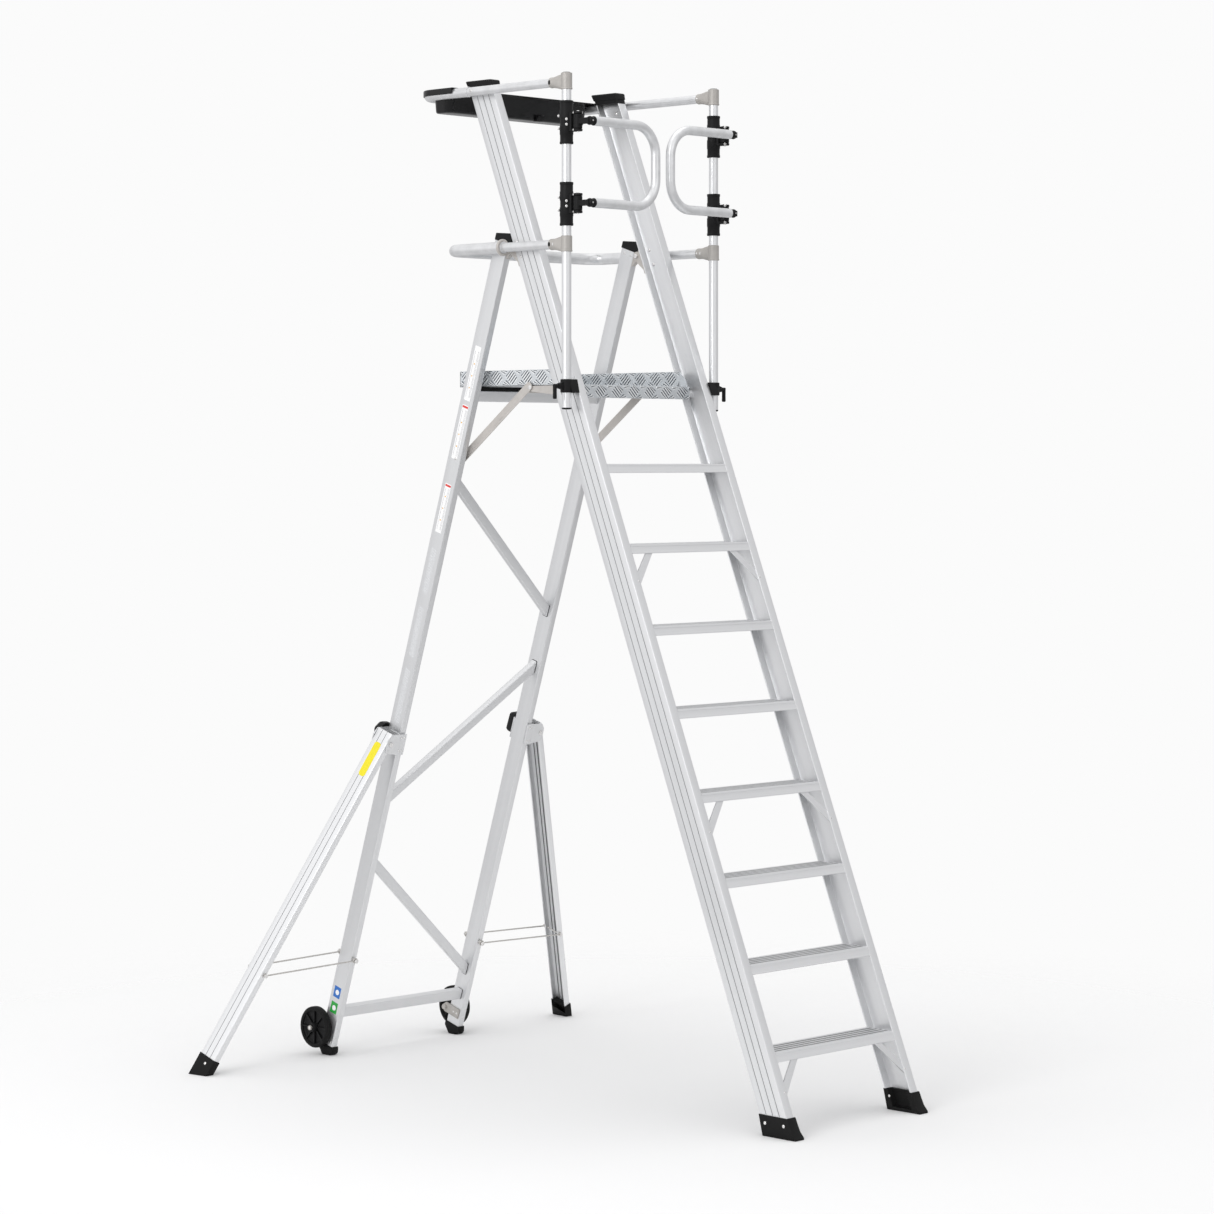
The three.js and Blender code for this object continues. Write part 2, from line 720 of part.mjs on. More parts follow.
const legTube = cut(
  block(LEG_IN, LEG_OUT, -LEG_HALF_DEPTH, LEG_HALF_DEPTH, LEG_BOTTOM, LEG_TOP),
  block(
    LEG_IN + LEG_WALL,
    LEG_OUT - LEG_WALL,
    LEG_WALL - LEG_HALF_DEPTH,
    LEG_HALF_DEPTH - LEG_WALL,
    LEG_BOTTOM - 10,
    LEG_TOP + 10,
  ),
);
const knuckle = cut(
  join(
    barX(LEG_IN + 1.5, STILE_OUT - 8, hingeIn.y, hingeIn.z, 9),
    prismX(
      [
        [hingeIn.y - 8, hingeIn.z - 4],
        [-LEG_HALF_DEPTH + 1, hingeIn.z - 44],
        [-LEG_HALF_DEPTH + 1, hingeIn.z + 9],
        [hingeIn.y, hingeIn.z + 9],
      ],
      LEG_IN + 1.5,
      STILE_OUT - 8,
    ),
  ),
  barX(LEG_IN - 20, LEG_OUT + 20, hingeIn.y, hingeIn.z, 5.3),
);
const strutPin = barX(STRUT_IN - 3, LEG_IN + 1, strutIn.y, strutIn.z, 5);
const strutPinHead = barX(STRUT_IN - 3, STRUT_IN - 0.5, strutIn.y, strutIn.z, 9);
const stayPinX = (LEG_IN + LEG_OUT) / 2;
const stayPin = join(
  barY(stayPinX, -STAY_HALF_WIDTH - 8, STAY_HALF_WIDTH + 8, STAY_ON_LEG, 4),
  barY(stayPinX, -STAY_HALF_WIDTH - 9, -STAY_HALF_WIDTH - 5, STAY_ON_LEG, 8),
  barY(stayPinX, STAY_HALF_WIDTH + 5, STAY_HALF_WIDTH + 9, STAY_ON_LEG, 8),
);
addPair("rear_leg", rear(join(legTube, knuckle, strutPin, strutPinHead, stayPin)), ALUMINIUM);

// Rear foot: a shoe round the leg's end, level on the floor.
const rearShoe = cut(
  prismX(
    [
      [LEG_FLOOR_Y - 32, 0],
      [LEG_FLOOR_Y + 6, 0],
      [LEG_FLOOR_Y + 25, 30],
      [LEG_FLOOR_Y + 21, 46],
      [LEG_FLOOR_Y - 43, 27],
      [LEG_FLOOR_Y - 43, 12],
      [LEG_FLOOR_Y - 39, 4],
    ],
    LEG_IN - 2.5,
    LEG_OUT + 2.5,
  ),
  block(
    LEG_IN - GAP,
    LEG_OUT + GAP,
    -LEG_HALF_DEPTH - GAP,
    LEG_HALF_DEPTH + GAP,
    LEG_BOTTOM - GAP,
    120,
  ).applyMatrix4(REAR),
);
addPair("rear_foot", rearShoe, RUBBER);

// Cross members butt against the legs' inner faces.
const between = LEG_IN - GAP;
const restIn = inRear(1384, 2218);
const REST_HALF = 11;
const REST_ABOVE = 14;
const restTube = cut(
  block(-between, between, restIn.y - REST_HALF, restIn.y + REST_HALF, restIn.z - 22, restIn.z + REST_ABOVE),
  block(-between - 5, between + 5, restIn.y - 8.5, restIn.y + 8.5, restIn.z - 19.5, restIn.z + 11.5),
);
add("deck_rest_bar", rear(restTube), ALUMINIUM);

// A rubber strip with a level top lies on the bar, under the deck.
const restEdge = (h) => vec(0, restIn.y + h, restIn.z + REST_ABOVE + GAP).applyMatrix4(REAR);
const padFront = restEdge(1 - REST_HALF);
const padBack = restEdge(REST_HALF - 1);
const padTop = DECK_TOP - SHEET - GAP;
const restPad = prismX(
  [
    [padFront.y, padFront.z],
    [padBack.y, padBack.z],
    [padBack.y, padTop],
    [padFront.y, padTop],
  ],
  8 - between,
  between - 8,
);
add("deck_rest_pad", restPad, RUBBER);

const flatBar = (w0, w1, wide, y0, y1) =>
  prismY(
    [
      [-between, w0 - wide / 2],
      [between, w1 - wide / 2],
      [between, w1 + wide / 2],
      [-between, w0 + wide / 2],
    ],
    y0,
    y1,
  );
add("bottom_bar", rear(flatBar(154, 154, 36, -13, 13)), ALUMINIUM);
DIAGONALS.forEach(([left, right], k) => {
  add(`diagonal_${k + 1}`, rear(flatBar(left, right, DIAGONAL_HIGH, -12, 12)), ALUMINIUM);
});

// ---------------------------------------------------------------- wheels on plates inside the legs
const wheelPlate = join(
  prismX(
    [
      [-22, wheelIn.z - 16],
      [wheelIn.y, wheelIn.z - 16],
      [wheelIn.y + 16, wheelIn.z],
      [wheelIn.y, wheelIn.z + 18],
      [-22, wheelIn.z + 18],
    ],
    LEG_IN - GAP - 4,
    LEG_IN - GAP,
  ),
  barX(LEG_IN - 12, WHEEL_X + 28, wheelIn.y, wheelIn.z, AXLE_R),
  barX(LEG_IN - 12, LEG_IN - 4, wheelIn.y, wheelIn.z, 9),
  barX(LEG_IN - 1, WHEEL_X - WHEEL_HALF - 1, wheelIn.y, wheelIn.z, 8),
  barX(WHEEL_X + 23, WHEEL_X + 30, wheelIn.y, wheelIn.z, 8),
);
addPair("wheel_bracket", rear(wheelPlate), STEEL);

const wheelProfile = [
  [AXLE_R + 0.3, -WHEEL_HALF - 0.5],
  [17, -WHEEL_HALF - 0.5],
  [17, -4],
  [WHEEL_R - 14, -4],
  [WHEEL_R - 14, -WHEEL_HALF],
  [WHEEL_R, -WHEEL_HALF],
  [WHEEL_R, WHEEL_HALF],
  [WHEEL_R - 14, WHEEL_HALF],
  [WHEEL_R - 14, 4],
  [17, 4],
  [15, WHEEL_HALF + 10],
  [AXLE_R + 0.3, WHEEL_HALF + 10],
  [AXLE_R + 0.3, -WHEEL_HALF - 0.5],
].map(([r, x]) => new THREE.Vector2(r, x));
const disc = new THREE.LatheGeometry(wheelProfile, 20);
const spokes = [];
for (let k = 0; k < 4; k++)
  spokes.push(
    block(-WHEEL_R + 12, WHEEL_R - 12, -WHEEL_HALF + 1, WHEEL_HALF - 1, -2, 2).applyMatrix4(
      new THREE.Matrix4().makeRotationY((k * Math.PI) / 4),
    ),
  );
const wheelSolid = cut(
  join(manifold(disc).volume() < 0 ? turned(disc) : disc, ...spokes),
  barY(0, -60, 60, 0, AXLE_R + 0.3, 0, 8),
);
addPair(
  "wheel",
  wheelSolid.applyMatrix4(basis(Y, X, Z.clone().negate())).translate(WHEEL_X, WHEEL_Y, WHEEL_Z),
  RUBBER,
);

// ---------------------------------------------------------------- stabilisers
// Bracket: a folded plate over the leg that carries the stabiliser's pivot bolt front and back.
const bracketHalf = STAB_HALF_DEPTH + GAP + 3;
const BRACKET_LOW = STAB_PIVOT_W - 40;
const BRACKET_HIGH = STAB_PIVOT_W + 33;
const bracketPlate = (y0, y1) =>
  prismY(
    [
      [LEG_IN + 1, BRACKET_LOW],
      [LEG_OUT, BRACKET_LOW],
      [STAB_PIVOT_X + 16, STAB_PIVOT_W - 30],
      [STAB_PIVOT_X + 16, STAB_PIVOT_W + 14],
      [STAB_PIVOT_X + 2, BRACKET_HIGH],
      [LEG_IN + 1, BRACKET_HIGH],
    ],
    y0,
    y1,
  );
const bracket = join(
  bracketPlate(-bracketHalf, -bracketHalf + 3),
  bracketPlate(bracketHalf - 3, bracketHalf),
  block(LEG_OUT + GAP, LEG_OUT + 3.4, -bracketHalf, bracketHalf, BRACKET_LOW, BRACKET_HIGH - 2),
  block(LEG_IN + 1, LEG_OUT + 3.4, -bracketHalf, -LEG_HALF_DEPTH - GAP, BRACKET_LOW, BRACKET_HIGH - 2),
  block(LEG_IN + 1, LEG_OUT + 3.4, LEG_HALF_DEPTH + GAP, bracketHalf, BRACKET_LOW, BRACKET_HIGH - 2),
  barY(STAB_PIVOT_X, -bracketHalf - 4, bracketHalf + 4, STAB_PIVOT_W, 5),
  barY(STAB_PIVOT_X, -bracketHalf - 6, -bracketHalf, STAB_PIVOT_W, 8),
  barY(STAB_PIVOT_X, bracketHalf, bracketHalf + 6, STAB_PIVOT_W, 8),
);
addPair("stabiliser_bracket", rear(bracket), STEEL);

// Stabiliser and stay are drawn with the pivot as origin and z up along the stabiliser, then splayed.
const SPLAY = new THREE.Matrix4()
  .makeRotationY(-STAB_SPLAY)
  .setPosition(STAB_PIVOT_X, 0, STAB_PIVOT_W);
const splayed = (geometry) => rear(geometry.applyMatrix4(SPLAY));

const stabIn = STAB_WEB - STAB_FLANGE;
const stabSection = [
  [stabIn, -STAB_HALF_DEPTH],
  ...swapped(grooved(-STAB_HALF_DEPTH, STAB_HALF_DEPTH, STAB_WEB, 0.7, 2, 1.6)),
  [stabIn, STAB_HALF_DEPTH],
  [stabIn, STAB_HALF_DEPTH - STAB_WALL],
  [STAB_WEB - STAB_WALL, STAB_HALF_DEPTH - STAB_WALL],
  [STAB_WEB - STAB_WALL, STAB_WALL - STAB_HALF_DEPTH],
  [stabIn, STAB_WALL - STAB_HALF_DEPTH],
];
const stabBottom = 30 - STAB_LENGTH;
const stabiliser = cut(
  prismZ(stabSection, stabBottom, 32),
  barY(0, -60, 60, 0, 5.3),
  barY(-1, -60, 60, -STAY_FROM_PIVOT, STAY_R + 0.4),
);
addPair("stabiliser", splayed(stabiliser), ALUMINIUM);

// Its boot is level on the floor.
const bootSlot = prismZ(
  [
    [stabIn - 12, -STAB_HALF_DEPTH - GAP],
    [STAB_WEB + GAP, -STAB_HALF_DEPTH - GAP],
    [STAB_WEB + GAP, STAB_HALF_DEPTH + GAP],
    [stabIn - 12, STAB_HALF_DEPTH + GAP],
    [stabIn - 12, STAB_HALF_DEPTH - STAB_WALL - GAP],
    [STAB_WEB - STAB_WALL - GAP, STAB_HALF_DEPTH - STAB_WALL - GAP],
    [STAB_WEB - STAB_WALL - GAP, STAB_WALL + GAP - STAB_HALF_DEPTH],
    [stabIn - 12, STAB_WALL + GAP - STAB_HALF_DEPTH],
  ],
  stabBottom - GAP,
  stabBottom + 80,
);
const bootBlock = splayed(
  block(
    stabIn - 2.5,
    STAB_WEB + 2.5,
    -STAB_HALF_DEPTH - 2.5,
    STAB_HALF_DEPTH + 2.5,
    -STAB_LENGTH - 60,
    -STAB_LENGTH + 58,
  ),
);
const belowFloor = block(600, 1100, 1900, 2400, -200, 0);
addPair("stabiliser_foot", cut(bootBlock, splayed(bootSlot), belowFloor), RUBBER);

// Stay: two rods joined by the bar through the stabiliser, with an eye at each free end.
const stayStart = vec(-1, 0, -STAY_FROM_PIVOT).applyMatrix4(SPLAY);
const stayRun = vec(stayPinX, 0, STAY_ON_LEG).sub(stayStart);
const STAY_LENGTH = stayRun.length();
const STAY_PLACE = new THREE.Matrix4()
  .makeRotationY(Math.atan2(stayRun.x, stayRun.z))
  .setPosition(stayStart);
const stayRod = (y) => barZ(0, y, 0, STAY_LENGTH - 8, STAY_R, 0, 5);
const stayEye = (y) => barY(0, y - STAY_R, y + STAY_R, STAY_LENGTH, 9.5, 0, 6);
const stay = cut(
  join(
    barY(0, -STAY_HALF_WIDTH - 5, STAY_HALF_WIDTH + 5, 0, STAY_R, 0, 5),
    barY(0, -STAY_HALF_WIDTH - 7, -STAY_HALF_WIDTH - 3, 0, 7, 0, 6),
    barY(0, STAY_HALF_WIDTH + 3, STAY_HALF_WIDTH + 7, 0, 7, 0, 6),
    stayRod(-STAY_HALF_WIDTH),
    stayRod(STAY_HALF_WIDTH),
    stayEye(-STAY_HALF_WIDTH),
    stayEye(STAY_HALF_WIDTH),
  ),
  barY(0, -60, 60, STAY_LENGTH, 4.6, 0, 6),
);
addPair("stay", rear(stay.applyMatrix4(STAY_PLACE)), STEEL);

// ---------------------------------------------------------------- centre over the footprint
const size = new THREE.Box3().setFromObject(group);
const middleY = (size.min.y + size.max.y) / 2;
for (const mesh of group.children) mesh.geometry.translate(0, -middleY, 0);

export default group;
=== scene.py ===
"""Looks of a mobile platform ladder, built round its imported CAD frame.

Shapes are worked out in millimetres with y = 0 at the stiles' front faces on the floor, as the part is, and
become metres in the frame, centred over the footprint, when they are made into pieces.
"""

import math

import bmesh
import bpy
from mathutils import Matrix, Vector


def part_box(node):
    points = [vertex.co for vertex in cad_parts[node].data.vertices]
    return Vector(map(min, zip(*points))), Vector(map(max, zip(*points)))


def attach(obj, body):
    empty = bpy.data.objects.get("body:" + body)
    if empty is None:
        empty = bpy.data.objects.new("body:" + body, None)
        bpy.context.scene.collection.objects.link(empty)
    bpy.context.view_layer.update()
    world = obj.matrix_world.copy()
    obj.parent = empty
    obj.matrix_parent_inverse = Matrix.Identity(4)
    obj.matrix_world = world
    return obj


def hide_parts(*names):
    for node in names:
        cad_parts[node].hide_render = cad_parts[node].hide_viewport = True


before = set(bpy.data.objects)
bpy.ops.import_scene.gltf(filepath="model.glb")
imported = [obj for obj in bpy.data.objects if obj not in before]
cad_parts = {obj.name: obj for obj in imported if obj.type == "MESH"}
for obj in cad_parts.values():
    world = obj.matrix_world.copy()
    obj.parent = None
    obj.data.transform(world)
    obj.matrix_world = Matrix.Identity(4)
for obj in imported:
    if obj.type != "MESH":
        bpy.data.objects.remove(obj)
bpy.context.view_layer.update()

# ---------------------------------------------------------------- camera
scene = bpy.context.scene
CAMERA_PLACE = (-7.898, -7.718, 2.011)
CAMERA_YAW = math.radians(-45.76)
LENS = 101.3
SHIFT_Y = -0.1224

camera_data = bpy.data.cameras.new("camera")
camera_data.lens = LENS
camera_data.sensor_width = 36
camera_data.shift_y = SHIFT_Y
camera_data.clip_end = 200
camera = bpy.data.objects.new("camera", camera_data)
camera.location = CAMERA_PLACE
camera.rotation_euler = (math.pi / 2, 0, CAMERA_YAW)
scene.collection.objects.link(camera)
scene.camera = camera

# ---------------------------------------------------------------- driving dimensions, millimetres
MM = 0.001
FOOT_TOE = -13.5
MIDDLE_Y = FOOT_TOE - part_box("front_foot_l")[0].y / MM  # the frame's origin is the middle of the footprint
SIDES = (("l", -1), ("r", 1))

STILE_TILT = math.radians(21.76)
TAN = math.tan(STILE_TILT)
STILE_IN, STILE_OUT, STILE_WALL, STILE_DEPTH = 273, 306.5, 3, 105
STILE_BOTTOM, STILE_TOP = 24, 3193
FLANGE = STILE_WALL / math.cos(STILE_TILT)

TREAD_COUNT, TREAD_RISE, TREAD_FIRST, TREAD_HIGH = 8, 250, 243.6, 28
BRACED = (1, 4, 7)

LEG_TILT = math.radians(17.7)
LEG_IN, LEG_OUT, LEG_HALF = 279.5, 304.5, 30
LEG_BOTTOM, LEG_TOP = 31, 2847
LEG_FLOOR_Y = 2100
REAR = Matrix.Translation((0, LEG_FLOOR_Y, 0)) @ Matrix.Rotation(LEG_TILT, 4, "X")
DIAGONALS = ((2034, 1569), (921, 1368), (702, 248))
DIAGONAL_HIGH = 41

HINGE_Y, HINGE_Z = 1194, 2681
PIVOT_Y, PIVOT_Z = 975, 2222
STRUT_TOP = (1141, 2237)
STRUT_FOOT = (1450.4, 2010)

DECK_TOP, DECK_FRONT, DECK_BACK, DECK_HALF, SHEET = 2245, 944, 1472, 264.5, 2.5
KICK_HIGH, LIP_HIGH = 49, 42

POST_X, POST_Y, POST_R, POST_BOTTOM, POST_TOP = 340, 907, 15, 2164, 3214
RAIL_Z, RAIL_BACK, RAIL_R = 3189, 1573, 16
MID_Z, MID_BACK, MID_R = 2682, 1454, 19
RAIL_BEND = 60
SOCKET_Y = 973

GATE_LEVELS = (("low", 2806), ("high", 3061))
GATE_PIVOT_Y, GATE_Y, GATE_NEAR_X, GATE_FAR_X, GATE_BEND = 857, 813, 315, 34, 90
SLEEVE_HALF, SLEEVE_R = 68, 21.5

STAB_X, STAB_W, STAB_SPLAY, STAB_LENGTH = 345, 1134.7, math.radians(23.2), 1231
STAB_HALF, STAB_WEB, STAB_IN, STAB_WALL = 34.7, 15, -9, 2.5
SPLAY = REAR @ Matrix.Translation((STAB_X, 0, STAB_W)) @ Matrix.Rotation(-STAB_SPLAY, 4, "Y")
STAY_AT, STAY_ON_LEG, STAY_HALF, STAY_R = 855, 358, 39, 2.6

WHEEL_X, WHEEL_Y, WHEEL_Z, WHEEL_R, WHEEL_HALF = 320.5, 2121, 92, 69.5, 12


def stile_front(z):
    return z * TAN


# ---------------------------------------------------------------- shapes: (points, faces)
X, Y, Z, LEFT = (1, 0, 0), (0, 1, 0), (0, 0, 1), (-1, 0, 0)
ORDER = {
    "x": lambda a, b, t: (t, a, b),
    "y": lambda a, b, t: (a, t, b),
    "z": lambda a, b, t: (a, b, t),
}


def prism(outline, low, high, axis):
    """An outline extruded along an axis: (y, z) points for x, (x, z) for y, (x, y) for z."""
    n = len(outline)
    points = [ORDER[axis](a, b, t) for t in (low, high) for a, b in outline]
    faces = [tuple(reversed(range(n))), tuple(range(n, 2 * n))]
    faces += [(i, (i + 1) % n, n + (i + 1) % n, n + i) for i in range(n)]
    return points, faces


def hollow_prism(outer, inner, low, high, axis):
    """A tube between two outlines that have the same number of points."""
    n = len(outer)
    rings = [[ORDER[axis](a, b, t) for a, b in line] for line, t in
             ((outer, low), (outer, high), (inner, high), (inner, low))]
    return ring_strip(rings, n)


def ring_strip(rings, n):
    """Rings joined one to the next and the last to the first."""
    points = [p for ring in rings for p in ring]
    count = len(rings)
    faces = []
    for k in range(count):
        a, b = k * n, ((k + 1) % count) * n
        faces += [(a + i, a + (i + 1) % n, b + (i + 1) % n, b + i) for i in range(n)]
    return points, faces


def loft(rings):
    """Rings joined one to the next, closed by a face at each end."""
    n = len(rings[0])
    points = [p for ring in rings for p in ring]
    faces = [tuple(reversed(range(n)))]
    for k in range(len(rings) - 1):
        a, b = k * n, (k + 1) * n
        faces += [(a + i, a + (i + 1) % n, b + (i + 1) % n, b + i) for i in range(n)]
    last = (len(rings) - 1) * n
    faces.append(tuple(range(last, last + n)))
    return points, faces


def rounded(outline, radius, steps=4, closed=True):
    """The outline with its corners turned into arcs. The radius is one number, or one for each corner."""
    n = len(outline)
    radii = radius if isinstance(radius, (list, tuple)) else [radius] * n
    points = []
    for k, here in enumerate(outline):
        ends = not closed and k in (0, n - 1)
        if ends or radii[k] <= 0:
            points.append(tuple(here))
            continue
        here = Vector(here)
        back = Vector(outline[k - 1]) - here
        on = Vector(outline[(k + 1) % n]) - here
        half = back.angle(on) / 2
        trim = min(radii[k] / math.tan(half), 0.49 * back.length, 0.49 * on.length)
        back.normalize()
        on.normalize()
        centre = here + (back + on).normalized() * (trim / math.cos(half))
        start = here + back * trim - centre
        end = here + on * trim - centre
        a0 = math.atan2(start.y, start.x)
        turn = (math.atan2(end.y, end.x) - a0 + math.pi) % (2 * math.pi) - math.pi
        for i in range(steps + 1):
            a = a0 + turn * i / steps
            points.append((centre.x + start.length * math.cos(a), centre.y + start.length * math.sin(a)))
    return points


def box_outline(a0, a1, b0, b1):
    return [(a0, b0), (a1, b0), (a1, b1), (a0, b1)]


def block(a0, a1, b0, b1, low, high, axis, radius):
    """A box with rounded corners, extruded along an axis."""
    return prism(rounded(box_outline(a0, a1, b0, b1), radius), low, high, axis)


def circle(radius, count=32, centre=(0, 0)):
    return [(centre[0] + radius * math.cos(2 * math.pi * k / count),
             centre[1] + radius * math.sin(2 * math.pi * k / count)) for k in range(count)]


def pointing(centre, direction):
    """Puts local z along a direction at a centre."""
    turn = Vector(direction).to_track_quat("Z", "Y").to_matrix().to_4x4()
    return Matrix.Translation(centre) @ turn


def placed(shape, matrix):
    points, faces = shape
    return [tuple(matrix @ Vector(p)) for p in points], faces


def flipped(shape, side):
    points, faces = shape
    return [(side * x, y, z) for x, y, z in points], faces


def lathe(profile, centre, direction, around=40):
    """A (radius, along) profile turned about an axis. It starts and ends on the axis, or closes on itself."""
    points, rings = [], []
    closed = profile[0] == profile[-1] and profile[0][0] > 0
    for r, t in profile[:-1] if closed else profile:
        if r <= 0:
            rings.append([len(points)] * around)
            points.append((0, 0, t))
        else:
            rings.append(list(range(len(points), len(points) + around)))
            points += [(x, y, t) for x, y in circle(r, around)]
    faces = []
    pairs = list(zip(rings, rings[1:] + rings[:1])) if closed else list(zip(rings, rings[1:]))
    for low, high in pairs:
        for i in range(around):
            j = (i + 1) % around
            corners = [low[i], low[j], high[j], high[i]]
            face = [c for k, c in enumerate(corners) if c not in corners[:k]]
            if len(face) > 2:
                faces.append(tuple(face))
    return placed((points, faces), pointing(centre, direction))


def rod(centre, direction, radius, start, end, chamfer=0.6, around=40):
    """A round bar with chamfered ends, from start to end along its direction."""
    return lathe([(0, start), (radius - chamfer, start), (radius, start + chamfer),
                  (radius, end - chamfer), (radius - chamfer, end), (0, end)], centre, direction, around)


def pipe(centre, direction, radius, bore, start, end, chamfer=0.6, around=40):
    """A round tube with chamfered outer edges."""
    edge = radius - chamfer
    return lathe([(bore, start), (edge, start), (radius, start + chamfer), (radius, end - chamfer),
                  (edge, end),
                  (bore, end), (bore, start)], centre, direction, around)


def sweep(path, normal, section):
    """A section swept along a flat path: (outward, along the normal) offsets from each point."""
    rings = []
    for k, here in enumerate(path):
        after = path[min(k + 1, len(path) - 1)]
        before = path[max(k - 1, 0)]
        across = (after - before).normalized().cross(normal)
        rings.append([tuple(here + across * a + normal * b) for a, b in section])
    return loft(rings)


def dome(centre, direction, radius, high, around=24):
    """A rivet or button head."""
    arc = [(radius * math.cos(a), high * math.sin(a)) for a in (math.radians(d) for d in (0, 22, 45, 68))]
    return lathe([(0, -0.5), (radius, -0.5)] + arc + [(0, high)], centre, direction, around)


def screw(centre, direction, radius, high):
    """A pan head with a socket in it."""
    socket = radius * 0.42
    return lathe([(0, -0.5), (radius, -0.5), (radius, high * 0.45), (radius * 0.82, high * 0.85),
                  (radius * 0.62, high), (socket, high), (socket, high * 0.35), (0, high * 0.3)],
                 centre, direction, 24)


def hexagon(centre, direction, across, low, high):
    """A nut or bolt head with its top edges turned."""
    r = across / math.sqrt(3)
    return placed(loft([[(x, y, low) for x, y in circle(r, 6)], [(x, y, high - 0.6) for x, y in circle(r, 6)],
                        [(x, y, high) for x, y in circle(r * 0.92, 6)]]), pointing(centre, direction))


# ---------------------------------------------------------------- materials
def new_material(name):
    made = bpy.data.materials.new(name)
    made.use_nodes = True
    tree = made.node_tree
    return made, tree, tree.nodes["Principled BSDF"]


ROUND = (1, 1, 1)


def textured(tree, kind, along, scale, **values):
    """A texture in the object's own coordinates, with its z axis along a direction, then stretched."""
    place = tree.nodes.new("ShaderNodeMapping")
    place.vector_type = "TEXTURE"
    place.inputs["Rotation"].default_value = Vector(along).to_track_quat("Z", "Y").to_euler()
    place.inputs["Scale"].default_value = [1 / s for s in scale]
    tree.links.new(tree.nodes.new("ShaderNodeTexCoord").outputs["Object"], place.inputs["Vector"])
    texture = tree.nodes.new(kind)
    for socket, value in values.items():
        texture.inputs[socket].default_value = value
    tree.links.new(place.outputs["Vector"], texture.inputs["Vector"])
    return texture


def spread(tree, value, low, high, lowest=0.3, highest=0.7):
    """Maps a texture's middle range to low and high."""
    node = tree.nodes.new("ShaderNodeMapRange")
    for socket, number in zip(("From Min", "From Max", "To Min", "To Max"), (lowest, highest, low, high)):
        node.inputs[socket].default_value = number
    tree.links.new(value, node.inputs["Value"])
    return node.outputs["Result"]


def tinted(tree, value, dark, light):
    """A colour between two, by a value from 0 to 1."""
    node = tree.nodes.new("ShaderNodeMix")
    node.data_type = "RGBA"
    node.inputs["A"].default_value = (*dark, 1)
    node.inputs["B"].default_value = (*light, 1)
    tree.links.new(value, node.inputs["Factor"])
    return node.outputs["Result"]


def bumped(tree, shader, heights):
    """Bump from (height, strength, distance in metres) rows, one on another."""
    normal = None
    for height, strength, distance in heights:
        node = tree.nodes.new("ShaderNodeBump")
        node.inputs["Strength"].default_value = strength
        node.inputs["Distance"].default_value = distance
        tree.links.new(height, node.inputs["Height"])
        if normal:
            tree.links.new(normal, node.inputs["Normal"])
        normal = node.outputs["Normal"]
    tree.links.new(normal, shader.inputs["Normal"])


def scaled_colour(colour, factor):
    return tuple(min(1.0, c * factor) for c in colour)


def drawn_metal(name, colour, along, roughness=(0.32, 0.42), metallic=0.86, line=0.05):
    """Extruded or drawn metal: die lines run along a direction, with faint cloudy patches of handling."""
    made, tree, shader = new_material(name)
    lines = textured(tree, "ShaderNodeTexNoise", along, (420, 420, 1.2), Scale=1, Detail=1)
    bands = textured(tree, "ShaderNodeTexNoise", along, (90, 90, 0.4), Scale=1, Detail=2, Roughness=0.5)
    cloud = textured(tree, "ShaderNodeTexNoise", along, (9, 9, 2), Scale=1, Detail=4, Roughness=0.55)
    grain = textured(tree, "ShaderNodeTexNoise", Z, ROUND, Scale=2400, Detail=1)
    mixed = tree.nodes.new("ShaderNodeMix")
    mixed.inputs["Factor"].default_value = 0.5
    tree.links.new(bands.outputs["Fac"], mixed.inputs["A"])
    tree.links.new(cloud.outputs["Fac"], mixed.inputs["B"])
    shade = spread(tree, mixed.outputs["Result"], 0, 1, 0.35, 0.65)
    tree.links.new(tinted(tree, shade, scaled_colour(colour, 0.975), scaled_colour(colour, 1.02)),
                   shader.inputs["Base Color"])
    tree.links.new(spread(tree, cloud.outputs["Fac"], *roughness), shader.inputs["Roughness"])
    shader.inputs["Metallic"].default_value = metallic
    bumped(tree, shader, [(lines.outputs["Fac"], line, 0.0002), (grain.outputs["Fac"], 0.02, 0.0002)])
    return made


def satin_tube(name, colour):
    """Bent tube: an even, finely blasted satin with soft patches, and no lines that would cross the bends."""
    return cast_metal(name, colour, (0.3, 0.38), 0.8, 1600, 0.04)


def cast_metal(name, colour, roughness=(0.36, 0.5), metallic=0.7, grain_scale=900, strength=0.2):
    """Cast or zinc-plated metal: a fine even grain and soft patches."""
    made, tree, shader = new_material(name)
    grain = textured(tree, "ShaderNodeTexNoise", Z, ROUND, Scale=grain_scale, Detail=3)
    patches = textured(tree, "ShaderNodeTexNoise", Z, ROUND, Scale=28, Detail=4, Roughness=0.6)
    shade = spread(tree, patches.outputs["Fac"], 0, 1)
    tree.links.new(tinted(tree, shade, scaled_colour(colour, 0.9), scaled_colour(colour, 1.06)),
                   shader.inputs["Base Color"])
    tree.links.new(spread(tree, patches.outputs["Fac"], *roughness), shader.inputs["Roughness"])
    shader.inputs["Metallic"].default_value = metallic
    bumped(tree, shader, [(grain.outputs["Fac"], strength, 0.0003)])
    return made


